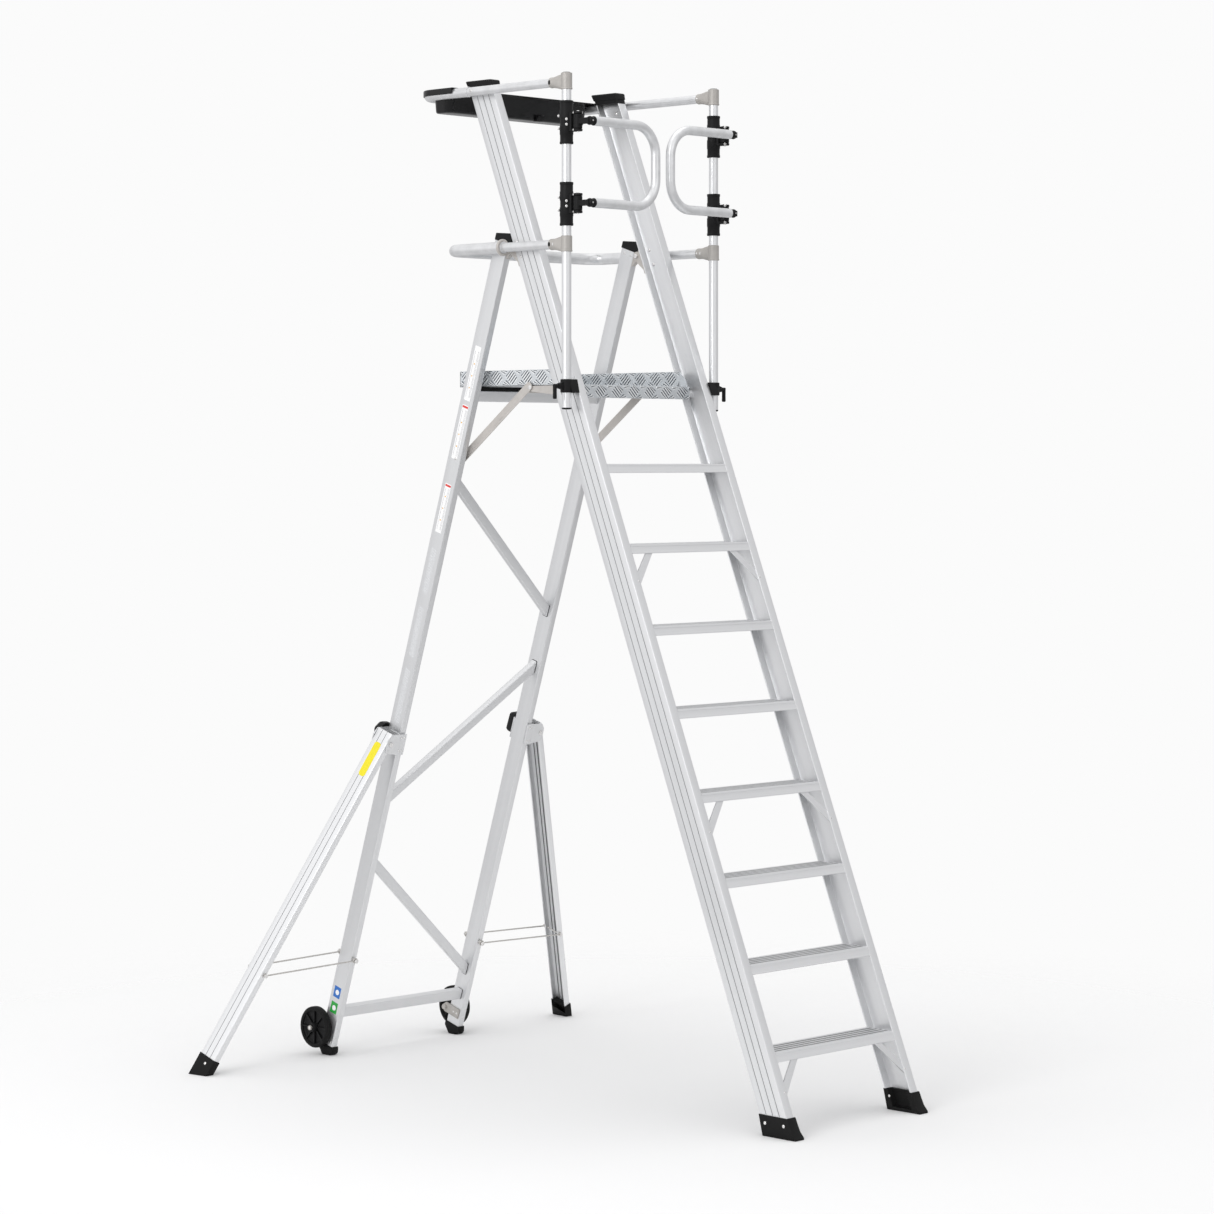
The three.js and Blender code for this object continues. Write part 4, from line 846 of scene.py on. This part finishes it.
lever = [lathe(grip, (grip_x, POST_Y + 1, CLAMP_Z), Z, 32), rod(axis, X, 4, POST_X + 18, grip_x),
         rod(axis, X, 6.2, POST_X + 38.4, grip_x, 1)]
pair("clamp_handle.lever", "clamp_handle", PLASTIC, lever, cad=True)

# Platform: the folded sheet, and its raised five-bar pattern. The bars are painted lighter than the sheet as
# a highlight, and a dark strip beside each bar is its painted shadow.
CELL = 71.0
BAR_LONG, BAR_PITCH = 41.0, 9.2
# the dark strips beside the bars are painted shadows
SHADOW_WIDE, SHADOW_HIGH, BAR_WIDE, BAR_HIGH = 4.0, 0.4, 5.2, 1.3
MARGIN = 0.8


def bar_shape(middle, along, long, wide, high, size, place):
    """One low bar with sloped sides and pointed ends, cut off at the sheet's edges."""
    beside = Vector((-along.y, along.x))
    rings = []
    for t, share in ((-0.3, 1.0), (high * 0.7, 0.96), (high, 0.8)):
        ring = []
        for a, b in ((-1, 0), (-0.82, -1), (0.82, -1), (1, 0), (0.82, 1), (-0.82, 1)):
            p = middle + along * (a * (long - (1 - share) * 1.6)) + beside * (b * wide / 2 * share)
            ring.append((*[min(max(p[i], MARGIN), size[i] - MARGIN) for i in (0, 1)], t))
        rings.append(ring)
    return placed(loft(rings), place)


def pattern(place, width, height):
    """Groups of five slanted bars in rows. Every other row leans the other way, half a step along."""
    bars, shade_strips = [], []
    size = (width, height)
    across = round(width / CELL)
    for row in range(-1, math.ceil(height / (CELL / 2)) + 1):
        turned = row % 2
        slant = math.pi / 4 if turned else -math.pi / 4
        along = Vector((math.cos(slant), math.sin(slant)))
        beside = Vector((-along.y, along.x))
        for i in range(across + turned):
            centre = Vector(((i + 0.5 - turned / 2) * width / across, height / 2 + row * CELL / 2))
            for k in range(-2, 3):
                middle = centre + beside * k * BAR_PITCH
                long = BAR_LONG / 2 - abs(k)
                reach = long * math.sqrt(0.5)
                if all(-reach < middle[i] < size[i] + reach for i in (0, 1)):
                    # a dark strip half a step beside each bar is its painted shadow
                    below = middle + beside * BAR_PITCH / 2
                    shade_strips.append(bar_shape(below, along, long - 1, SHADOW_WIDE, SHADOW_HIGH, size, place))
                    bars.append(bar_shape(middle, along, long, BAR_WIDE, BAR_HIGH, size, place))
    return bars, shade_strips


def sheet_frame(origin, across, up, out):
    """Local x, y and z of a pattern put along three directions."""
    return Matrix.Translation(origin) @ Matrix((across, up, out)).transposed().to_4x4()


under_top, lip_low, kick_top = DECK_TOP - SHEET, DECK_TOP - LIP_HIGH, DECK_TOP + KICK_HIGH
lip = rounded([(DECK_FRONT, lip_low), (DECK_FRONT + SHEET, lip_low), (DECK_FRONT + SHEET, under_top),
               (DECK_FRONT + 8, under_top), (DECK_FRONT + 8, DECK_TOP), (DECK_FRONT, DECK_TOP)],
              [0.6, 0.6, 2, 0, 0, 4], 4)
kick = rounded([(DECK_FRONT + 6, under_top), (DECK_BACK, under_top), (DECK_BACK, kick_top),
                (DECK_FRONT + 42, kick_top), (DECK_FRONT + 14, DECK_TOP + 20)], [1, 1, 3, 10, 14], 5)
deck = [block(-DECK_HALF, DECK_HALF, DECK_FRONT + 1, DECK_BACK, under_top, DECK_TOP, "z", 1),
        prism(lip, -DECK_HALF, DECK_HALF, "x"),
        prism(box_outline(DECK_BACK - SHEET, DECK_BACK, under_top, kick_top), -DECK_HALF, DECK_HALF, "x")]
deck += on_both_sides([prism(kick, DECK_HALF - SHEET, DECK_HALF, "x")])
piece("platform.sheet", "platform", CHECKER, deck, ["platform"])

LONG = DECK_BACK - DECK_FRONT
INSIDE = DECK_HALF - SHEET
faces = [((-INSIDE, DECK_FRONT + 3, DECK_TOP), X, Y, Z, 2 * INSIDE, LONG - 6),
         ((-DECK_HALF, DECK_FRONT, lip_low), X, Z, (0, -1, 0), 2 * DECK_HALF, LIP_HIGH - 2)]
for y, out in ((DECK_BACK, 1), (DECK_BACK - SHEET, -1)):
    faces.append(((-INSIDE, y, DECK_TOP), X, Z, (0, out, 0), 2 * INSIDE, KICK_HIGH))
for sign in (-1, 1):
    for out in (-1, 1):
        x = sign * (DECK_HALF if out == sign else INSIDE)
        faces.append(((x, DECK_FRONT + 44, DECK_TOP), Y, Z, (out, 0, 0), LONG - 48, KICK_HIGH))
bars, shade_strips = [], []
for *directions, width, height in faces:
    made = pattern(sheet_frame(*directions), width, height)
    bars += made[0]
    shade_strips += made[1]
# the bars' light colour is a painted highlight, the dark strips painted shadows
piece("platform.pattern", "platform", RAISED_HIGHLIGHT, bars, edge=0)
piece("platform.pattern_beds", "platform", BAR_SHADOWS, shade_strips, edge=0)

# The platform's underside: a stiffener, the pivot arms and their pins.
arm = rounded([(PIVOT_Y - 14, PIVOT_Z - 12), (PIVOT_Y + 20, PIVOT_Z - 14),
               (STRUT_TOP[0] + 12, STRUT_TOP[1] - 11),
               (STRUT_TOP[0] + 14, STRUT_TOP[1] + 2), (STRUT_TOP[0] + 6, DECK_TOP - 3),
               (PIVOT_Y - 12, DECK_TOP - 3)],
              [12, 4, 8, 4, 2, 4], 5)
under = [block(1180, 1200, DECK_TOP - 24, DECK_TOP - 2, 30 - DECK_HALF, DECK_HALF - 30, "x", 2)]
under += on_both_sides([prism(arm, DECK_HALF - 0.8, 268.2, "x")])
piece("platform.arms", "platform", ZINC, under)
pins = [rod((0, PIVOT_Y, PIVOT_Z), X, 6, DECK_HALF, INNER - 0.4), dome((INSIDE, *STRUT_TOP), LEFT, 7, 2.4)]
piece("platform.pins", "platform", BRIGHT, on_both_sides(pins), edge=0.3)

# Struts: flat bars with rounded eyes.
STRUT_IN, STRUT_OUT = 268.9, 272.3
rise, run = STRUT_TOP[1] - STRUT_FOOT[1], STRUT_TOP[0] - STRUT_FOOT[0]
long = math.hypot(rise, run)
strut_place = Matrix.Translation((0, *STRUT_FOOT)) @ Matrix.Rotation(math.atan2(rise, run), 4, "X")
outline = rounded([(-14, -15), (long + 11, -20), (long + 10, 8), (-14, 13)], [11, 12, 10, 11], 8)
strut = [prism(outline, STRUT_IN, STRUT_OUT, "x"), block(26, long - 26, -7.5, 1.5, 272, 272.8, "x", 3)]
pair("strut.bar", "strut", ZINC, strut, strut_place, cad=True)
pair("strut.bolt", "strut", BRIGHT, [dome((272.2, *STRUT_TOP), X, 8, 0.7)], edge=0)


# ---------------------------------------------------------------- rear frame, drawn along its legs
def rear(shape, sign=1):
    return placed(flipped(shape, sign), REAR)


REAR_IN = REAR.inverted()


def in_rear(y, z):
    return REAR_IN @ Vector((0, y, z))


# Rear legs: box tubes with a knuckle for the hinge, a cap, and the pins that the struts and stays turn on.
WALL = 2.5
hinge_in, strut_in, wheel_in = in_rear(HINGE_Y, HINGE_Z), in_rear(*STRUT_FOOT), in_rear(WHEEL_Y, WHEEL_Z)
outer = rounded(box_outline(LEG_IN, LEG_OUT, -LEG_HALF, LEG_HALF), 3, 4)
inner = rounded(box_outline(LEG_IN + WALL, LEG_OUT - WALL, WALL - LEG_HALF, LEG_HALF - WALL), 1, 4)
pair("rear_leg.tube", BACK, ALU_LEG_SHADED, [hollow_prism(outer, inner, LEG_BOTTOM, LEG_TOP, "z")], cad=True,
     edge=0.3)
web = rounded([(hinge_in.y - 6, hinge_in.z - 6), (1 - LEG_HALF, hinge_in.z - 44),
               (1 - LEG_HALF, hinge_in.z + 10), (hinge_in.y + 6, hinge_in.z + 8)], 2)
knuckle = [pipe(hinge_in, X, 9, 5.3, LEG_IN + 1.5, STILE_OUT - 8),
           prism(web, LEG_IN + 1.5, STILE_OUT - 8, "x")]
pair("rear_leg.knuckle", BACK, ZINC, knuckle, edge=0.6)
cap = rounded([(LEG_HALF + 1.2, LEG_TOP - 9), (LEG_HALF + 1.2, LEG_TOP + 13), (-LEG_HALF - 2, LEG_TOP + 28),
               (-LEG_HALF - 19, LEG_TOP + 3), (-LEG_HALF - 1.2, LEG_TOP - 9)], [1, 3, 6, 3, 1], 4)
pair("rear_leg.cap", BACK, PLASTIC, [prism(cap, LEG_IN - 1.2, LEG_OUT + 1.2, "x")], edge=1.4, segments=3)
stay_x = (LEG_IN + LEG_OUT) / 2
metal = [rod(strut_in, X, 5, LEG_IN - 13.7, LEG_IN + 1),
         dome((LEG_IN - 11, strut_in.y, strut_in.z), LEFT, 9, 3.2),
         dome((LEG_OUT, strut_in.y, strut_in.z), X, 5.5, 2),
         rod((stay_x, 0, STAY_ON_LEG), Y, 4, -STAY_HALF - 8, STAY_HALF + 8)]
for end in (-1, 1):
    metal.append(hexagon((stay_x, end * (STAY_HALF + 5), STAY_ON_LEG), (0, end, 0), 13, 0, 4.4))
    metal.append(rod((stay_x, end * LEG_HALF, STAY_ON_LEG), (0, end, 0), 7.5, -0.2, 1.6))
    metal.append(dome((stay_x, end * (STAY_HALF + 8.6), STAY_ON_LEG), (0, end, 0), 3.6, 2.4))
metal += [dome((LEG_OUT - 6, -LEG_HALF, w), (0, -1, 0), 3.4, 1.6) for w in (70, 104)]
metal.append(dome((LEG_OUT, -18, 52), X, 3.6, 1.5))
metal += [dome((LEG_IN, h, LEG_TOP - 24), LEFT, 3.6, 1.5) for h in (-18, 12)]
pair("rear_leg.pins", BACK, BRIGHT, metal, edge=0)
finished(both("rear_foot"), RUBBER, 1.2)

# Deck rest: a hollow bar between the legs, with a rubber pad that keeps its shape.
BETWEEN = LEG_IN - 0.4
rest_in = in_rear(1384, 2218)
outer = rounded(box_outline(-11, 11, -22, 14), 2.5, 4)
inner = rounded(box_outline(WALL - 11, 11 - WALL, WALL - 22, 14 - WALL), 1, 4)
bar = placed(hollow_prism(outer, inner, -BETWEEN, BETWEEN, "x"), Matrix.Translation(rest_in))
piece("deck_rest_bar.tube", BACK, ALU_ACROSS, [rear(bar)], ["deck_rest_bar"], edge=0.3)
finished(["deck_rest_pad"], RUBBER, 1.0)


# Cross members: flat tubes with rounded long edges, and a thin black ring where each end meets a leg, as
# painted shadow of the gap there.
def cross_member(left, right, high, half_y):
    section = rounded(box_outline(-half_y, half_y, -high / 2, high / 2), 4, 4)
    return loft([[(x, a, w + b) for a, b in section] for x, w in ((-BETWEEN, left), (BETWEEN, right))])


def end_shadow_ring(x, w, slope, high, half_y):
    section = rounded(box_outline(-half_y - 0.5, half_y + 0.5, -high / 2 - 0.5, high / 2 + 0.5), 4, 4)
    return loft([[(x + t, a, w + b + t * slope) for a, b in section] for t in (0, math.copysign(1.6, -x))])


members = [("bottom_bar", 154, 154, 36, 13)]
members += [(f"diagonal_{k + 1}", *ends, DIAGONAL_HIGH, 12) for k, ends in enumerate(DIAGONALS)]
for name, left, right, high, half_y in members:
    slope = (right - left) / (2 * BETWEEN)
    along = REAR.to_3x3() @ Vector((2 * BETWEEN, 0, right - left))
    # painted shade: a darker copy of the aluminium, for how the light falls on these faces
    shaded_metal = drawn_metal(f"aluminium_{name}", scaled_colour(ALU, 0.92), along, (0.46, 0.52), 0.8, 0.004)
    piece(f"{name}.tube", BACK, shaded_metal, [rear(cross_member(left, right, high, half_y))], [name], edge=0.3)
    # black rings at the ends: painted shadow where each tube meets a leg
    end_shadows = [rear(end_shadow_ring(x, w, slope, high, half_y)) for x, w in ((-BETWEEN, left), (BETWEEN, right))]
    piece(f"{name}.ends", BACK, RUBBER, end_shadows, edge=0.3)

# Wheels: spoked plastic hubs with a rubber tyre, on a plate inside each leg.
finished(both("wheel_bracket"), CAST, 0.7)
bolt = [hexagon((WHEEL_X + 23, wheel_in.y, wheel_in.z), X, 14, 0, 6.4),
        dome((WHEEL_X + 29, wheel_in.y, wheel_in.z), X, 5, 2.4),
        hexagon((LEG_IN - 4.4, wheel_in.y, wheel_in.z), LEFT, 15, 0, 6)]
bolt += [dome((LEG_IN - 4.4, h, wheel_in.z), LEFT, 4, 1.8) for h in (-12, 4)]
pair("wheel_bracket.bolt", BACK, BRIGHT, bolt, edge=0.3)
hub = (WHEEL_X, WHEEL_Y, WHEEL_Z)
rim_r = WHEEL_R - 13
half = WHEEL_HALF
wall = [(5.3, -half - 0.5), (16, -half - 0.5), (17, -half + 0.5), (17.5, -5), (20, -3.5), (rim_r - 5, -3.5),
        (rim_r - 1.5, -6), (rim_r, -half + 1), (rim_r + 3, -half + 1), (rim_r + 3, half - 1),
        (rim_r, half - 1),
        (rim_r - 1.5, 6), (rim_r - 5, 3.5), (20, 3.5), (17.5, 5), (16, half + 6), (14, half + 10),
        (5.3, half + 10),
        (5.3, -half - 0.5)]
spoke = block(14, rim_r + 1, -2.2, 2.2, -half + 2.5, half - 2.5, "z", 0.6)
parts = [lathe(wall, hub, X, 72)]
parts += [placed(spoke, pointing(hub, X) @ Matrix.Rotation(k * math.pi / 4, 4, "Z")) for k in range(8)]
pair("wheel.hub", "wheel", PLASTIC, parts, cad=True, edge=0.6)
tread = [(rim_r + 8, half), (WHEEL_R - 2, half - 1.2), (WHEEL_R - 0.4, half - 3.4), (WHEEL_R, 5)]
tyre = [(rim_r + 2.4, -half), *[(r, -t) for r, t in tread], *reversed(tread), (rim_r + 2.4, half),
        (rim_r + 2.4, -half)]
pair("wheel.tyre", "wheel", RUBBER, [lathe(tyre, hub, X, 72)], edge=0.3)

# Stabiliser brackets: folded plates round the leg, with a black cover at the back, the pivot bolt and rivets.
bracket = STAB_HALF + 3.4
plate = rounded([(LEG_IN + 1, STAB_W - 40), (LEG_OUT, STAB_W - 40), (STAB_X + 16, STAB_W - 30),
                 (STAB_X + 16, STAB_W + 14), (STAB_X + 2, STAB_W + 33), (LEG_IN + 1, STAB_W + 33)],
                [2, 6, 10, 12, 6, 2], 5)
folds = [prism(plate, -bracket, 3 - bracket, "y"), prism(plate, bracket - 3, bracket, "y"),
         block(LEG_OUT + 0.4, LEG_OUT + 3.4, -bracket, bracket, STAB_W - 40, STAB_W + 31, "z", 1)]
for end in (-1, 1):
    edges = sorted((end * (bracket - 2.8), end * (LEG_HALF + 0.4)))
    folds.append(prism(box_outline(LEG_IN + 2.4, LEG_OUT + 1, *edges), STAB_W - 38, STAB_W + 31, "z"))
pair("stabiliser_bracket.fold", BACK, ALU_LEG_SHADED, folds, cad=True, slot="steel")
cover = rounded([(LEG_IN + 2, STAB_W - 26), (LEG_OUT + 26, STAB_W - 14), (LEG_OUT + 34, STAB_W + 24),
                 (LEG_OUT + 12, STAB_W + 46), (LEG_IN + 5, STAB_W + 44)], [4, 10, 14, 12, 10], 5)
middle = Vector((LEG_OUT, STAB_W + 4))
rings = [[(middle.x + (x - middle.x) * k, bracket + h, middle.y + (w - middle.y) * k) for x, w in cover]
         for h, k in ((0.2, 1), (18, 0.98), (28, 0.86), (33, 0.62))]
pair("stabiliser_bracket.cover", BACK, PLASTIC, [loft(rings)], edge=0.8)
bolt = [rod((STAB_X, 0, STAB_W), Y, 5, -bracket - 4, bracket + 4)]
for end in (-1, 1):
    bolt.append(hexagon((STAB_X, end * bracket, STAB_W), (0, end, 0), 14, 0, 5.6))
    bolt += [dome((x, end * bracket, STAB_W + w), (0, end, 0), 3.6, 1.8)
             for x in (LEG_IN + 9, LEG_OUT - 4) for w in (20, -26)]
pair("stabiliser_bracket.bolts", BACK, BRIGHT, bolt, edge=0.3)

# Stabilisers: channels with grooves outside and ribs inside, open at the top. Their boots keep their shape.
reach = STAB_HALF - STAB_WALL
inside = STAB_WEB - STAB_WALL
web = swapped(grooved(-STAB_HALF, STAB_HALF, STAB_WEB, 1.3, 2, 2.2))
ribs = swapped(grooved(reach, -reach, inside, 2.2, 2, 3))
outline = [(STAB_IN, -STAB_HALF), *web, (STAB_IN, STAB_HALF), (STAB_IN, reach - 1.5),
           (STAB_IN + 4, reach - 1.5),
           (STAB_IN + 5.5, reach), *ribs, (STAB_IN + 5.5, -reach), (STAB_IN + 4, 1.5 - reach),
           (STAB_IN, 1.5 - reach)]
radii = [1, 3] + [0] * (len(web) - 2) + [3, 1, 1, 0, 0, 1.5] + [0] * (len(ribs) - 2) + [1.5, 0, 0, 1]
channel = prism(rounded(outline, radii, 3), 30 - STAB_LENGTH, 32, "z")
pair("stabiliser.channel", "stabiliser", ALU_STAB, [channel], SPLAY, cad=True, edge=0.3)
# dark strips between the ribs inside the channel and in the outer grooves: painted shade
strips = [prism(box_outline(inside - 2.5, inside + 0.2, a, b), 44 - STAB_LENGTH, 18, "z")
          for a, b in bed_spans(-reach, reach, 3, 3.4)]
strips += [prism(box_outline(STAB_WEB - 1.4, STAB_WEB - 0.7, a, b), 44 - STAB_LENGTH, 30, "z")
           for a, b in bed_spans(-STAB_HALF, STAB_HALF, 2, 2)]
pair("stabiliser.ribs", "stabiliser", GROOVE_SHADE, strips, SPLAY, edge=0)
finished(both("stabiliser_foot"), RUBBER, 1.3)
rivet = dome((STAB_WEB + 2.3, -6, 35 - STAB_LENGTH), X, 5, 2)
pair("stabiliser_foot.rivet", "stabiliser", BRIGHT, [rivet], SPLAY, edge=0)

# Stays: two rods with eyes round the bolt on the leg, held by nuts on the stabiliser.
start = Matrix.Translation((STAB_X, 0, STAB_W)) @ Matrix.Rotation(-STAB_SPLAY, 4,
                                                                  "Y") @ Vector((-1, 0, -STAY_AT))
run = Vector((stay_x, 0, STAY_ON_LEG)) - start
stay_place = REAR @ Matrix.Translation(start) @ Matrix.Rotation(math.atan2(run.x, run.z), 4, "Y")
rods, heads = [rod((0, 0, 0), Y, STAY_R, -STAY_HALF - 5, STAY_HALF + 5, 0.4, 20)], []
for end in (-1, 1):
    y = end * STAY_HALF
    rods.append(rod((0, y, 0), Z, STAY_R, 0, run.length - 8, 0.4, 20))
    rods.append(pipe((0, y, run.length), Y, 9.5, 4.6, -STAY_R, STAY_R, 1.2, 32))
    rods.append(pipe((0, y, 0), Y, 6.2, STAY_R - 0.2, -STAY_R, STAY_R, 1.2, 32))
    heads.append(rod((0, end * (STAB_HALF + 0.8), 0), (0, end, 0), 8.2, -0.4, 1.2, 0.3, 28))
    heads.append(hexagon((0, y, 0), (0, end, 0), 11.5, 3, 7.4))
    heads.append(dome((0, end * (STAY_HALF + 7), 0), (0, end, 0), 3.2, 2))
pair("stay.rods", "stay", STAINLESS, rods, stay_place, cad=True, edge=0)
pair("stay.nuts", "stay", BRIGHT, heads, stay_place, edge=0)

# ---------------------------------------------------------------- plain labels
# Each is a thin film on a flat face. They carry only lines, bars and dots, and no words.
FILM = 0.35
FILM_IN = LEG_OUT - 0.2


def film(a0, a1, b0, b1, radius=1.5, lift=0.0):
    """A film on a leg's outer face: depth a, along b."""
    return prism(rounded(box_outline(a0, a1, b0, b1), radius, 3), FILM_IN, LEG_OUT + FILM + lift, "x")


def on_left_leg(name, material, shapes):
    piece(f"label.{name}", BACK, material, [rear(s, -1) for s in shapes], edge=0)


grey, amber, hatch = [], [], []
sheets = ((2308, 2490), (2110, 2292), (1858, 2024))
for low, high in sheets:
    grey += [film(a, a + 0.9, low + 10, high - 16, 0.3, 0.1) for a in (-11, -6.5, 7)]
    amber += [film(-1.5, 3.5, b, b + 5, 2.4, 0.15) for b in (low + 40, low + 80, low + 120)]
on_left_leg("white", WHITE_FILM, [film(-15, 13, low, high) for low, high in sheets])
on_left_leg("red_bars", RED_INK, [film(-14, 12, high - 10, high - 3, 0.5, 0.1) for high in (2292, 2024)])
on_left_leg("grey_lines", GREY_INK, grey)
on_left_leg("amber_dots", AMBER_INK, amber)

for low, high in ((1648, 1806), (1428, 1600), (1194, 1386)):
    for b in range(low, high - 8, 9):
        slanted = rounded([(-13, b), (11, b + 6), (11, b + 11), (-13, b + 5)], 0.6)
        hatch.append(prism(slanted, FILM_IN, LEG_OUT + FILM, "x"))
on_left_leg("pale_hatch", PALE_FILM, hatch)

SQUARE = 39
squares = (("blue_square", BLUE_FILM, 208), ("green_square", GREEN_FILM, 152))
for name, material, low in squares:
    on_left_leg(name, material, [film(-16, 16, low, low + SQUARE, 1)])
dots = [rod((LEG_OUT, -1, low + 19), X, 9, 0, FILM + 0.15, 0.05, 32) for *_, low in squares]
on_left_leg("square_marks", WHITE_FILM, dots)

band = prism(rounded(box_outline(-15, 15, -136, -12), 11, 5), STAB_WEB - 0.2, STAB_WEB + FILM, "x")
piece("label.yellow_band", "stabiliser_l", YELLOW_FILM, [flipped(placed(band, SPLAY), -1)], edge=0)


# ---------------------------------------------------------------- floor, light
def make_floor():
    """A pale round floor that fades out at its edge. Its colour is darker near the middle: painted shade."""
    mesh = bmesh.new()
    rings = [0.0, 2.5, 5, 8, 12]
    around = 64
    middle = mesh.verts.new((0, 0, 0))
    before = None
    for r in rings[1:]:
        ring = [mesh.verts.new((r * math.cos(2 * math.pi * k / around),
                                r * math.sin(2 * math.pi * k / around), 0))
                for k in range(around)]
        for k in range(around):
            j = (k + 1) % around
            if before is None:
                mesh.faces.new((middle, ring[k], ring[j]))
            else:
                mesh.faces.new((before[k], ring[k], ring[j], before[j]))
        before = ring
    data = bpy.data.meshes.new("floor")
    mesh.to_mesh(data)
    mesh.free()
    made, tree, shader = new_material("floor")
    shader.inputs["Roughness"].default_value = 0.85
    shader.inputs["Specular IOR Level"].default_value = 0.1
    coordinates = tree.nodes.new("ShaderNodeTexCoord")
    length = tree.nodes.new("ShaderNodeVectorMath")
    length.operation = "LENGTH"
    tree.links.new(coordinates.outputs["Object"], length.inputs[0])
    fade = spread(tree, length.outputs["Value"], 1, 0, 1.0, 3.6)
    fade.node.interpolation_type = "SMOOTHSTEP"
    tree.links.new(fade, shader.inputs["Alpha"])
    # painted shade: the floor's colour darkens towards the middle, round the ladder's footprint
    painted_centre_shade = spread(tree, length.outputs["Value"], 0, 1, 0.3, 2.4)
    painted_centre_shade.node.interpolation_type = "SMOOTHSTEP"
    tree.links.new(tinted(tree, painted_centre_shade, (0.84, 0.84, 0.84), (0.92, 0.92, 0.92)), shader.inputs["Base Color"])
    data.materials.append(made)
    floor = bpy.data.objects.new("floor", data)
    floor.location.z = -0.0005
    scene.collection.objects.link(floor)


make_floor()


def make_world():
    """A pale room: brighter overhead, with the same plain white behind everything the camera sees."""
    world = bpy.data.worlds.new("studio")
    world.use_nodes = True
    tree = world.node_tree
    background = tree.nodes["Background"]
    backdrop = tree.nodes.new("ShaderNodeBackground")
    backdrop.inputs["Color"].default_value = (0.965, 0.965, 0.965, 1)
    direction = tree.nodes.new("ShaderNodeTexCoord")
    split = tree.nodes.new("ShaderNodeSeparateXYZ")
    tree.links.new(direction.outputs["Generated"], split.inputs["Vector"])
    ramp = tree.nodes.new("ShaderNodeValToRGB")
    ramp.color_ramp.elements[0].position = 0.0
    ramp.color_ramp.elements[0].color = (0.55, 0.55, 0.555, 1)
    ramp.color_ramp.elements[1].position = 1.0
    ramp.color_ramp.elements[1].color = (0.95, 0.95, 0.95, 1)
    for position, grey in ((0.42, 0.60), (0.55, 0.68), (0.75, 0.84)):
        stop = ramp.color_ramp.elements.new(position)
        stop.color = (grey, grey, grey * 1.01, 1)
    height = tree.nodes.new("ShaderNodeMapRange")
    height.inputs["From Min"].default_value = -1
    tree.links.new(split.outputs["Z"], height.inputs["Value"])
    tree.links.new(height.outputs["Result"], ramp.inputs["Fac"])
    tree.links.new(ramp.outputs["Color"], background.inputs["Color"])
    left = tree.nodes.new("ShaderNodeMapRange")
    for socket, number in (("From Min", -1), ("From Max", 1), ("To Min", 1.16), ("To Max", 0.86)):
        left.inputs[socket].default_value = number
    tree.links.new(split.outputs["X"], left.inputs["Value"])
    tree.links.new(left.outputs["Result"], background.inputs["Strength"])
    paths = tree.nodes.new("ShaderNodeLightPath")
    mix = tree.nodes.new("ShaderNodeMixShader")
    tree.links.new(paths.outputs["Is Camera Ray"], mix.inputs["Fac"])
    tree.links.new(background.outputs["Background"], mix.inputs[1])
    tree.links.new(backdrop.outputs["Background"], mix.inputs[2])
    tree.links.new(mix.outputs["Shader"], tree.nodes["World Output"].inputs["Surface"])
    scene.world = world


make_world()


def softbox(name, place, target, size, power):
    light = bpy.data.lights.new(name, "AREA")
    light.shape = "RECTANGLE"
    light.size, light.size_y = size
    light.energy = power
    obj = bpy.data.objects.new(name, light)
    obj.location = place
    obj.rotation_euler = (Vector(target) - Vector(place)).to_track_quat("-Z", "Y").to_euler()
    obj.visible_camera = False
    scene.collection.objects.link(obj)


softbox("key", (-7.5, -1.0, 5.0), (0, 0, 1.6), (4, 5), 170)
softbox("front", (-1.0, -8.0, 5.0), (0, 0, 1.6), (4, 4), 30)
softbox("left_rear", (-7.0, 5.0, 3.0), (0, 0, 1.4), (5, 5), 20)
softbox("top", (0.5, 0.5, 8.5), (0, 0, 0), (6, 6), 70)
scene.view_settings.view_transform = "Standard"
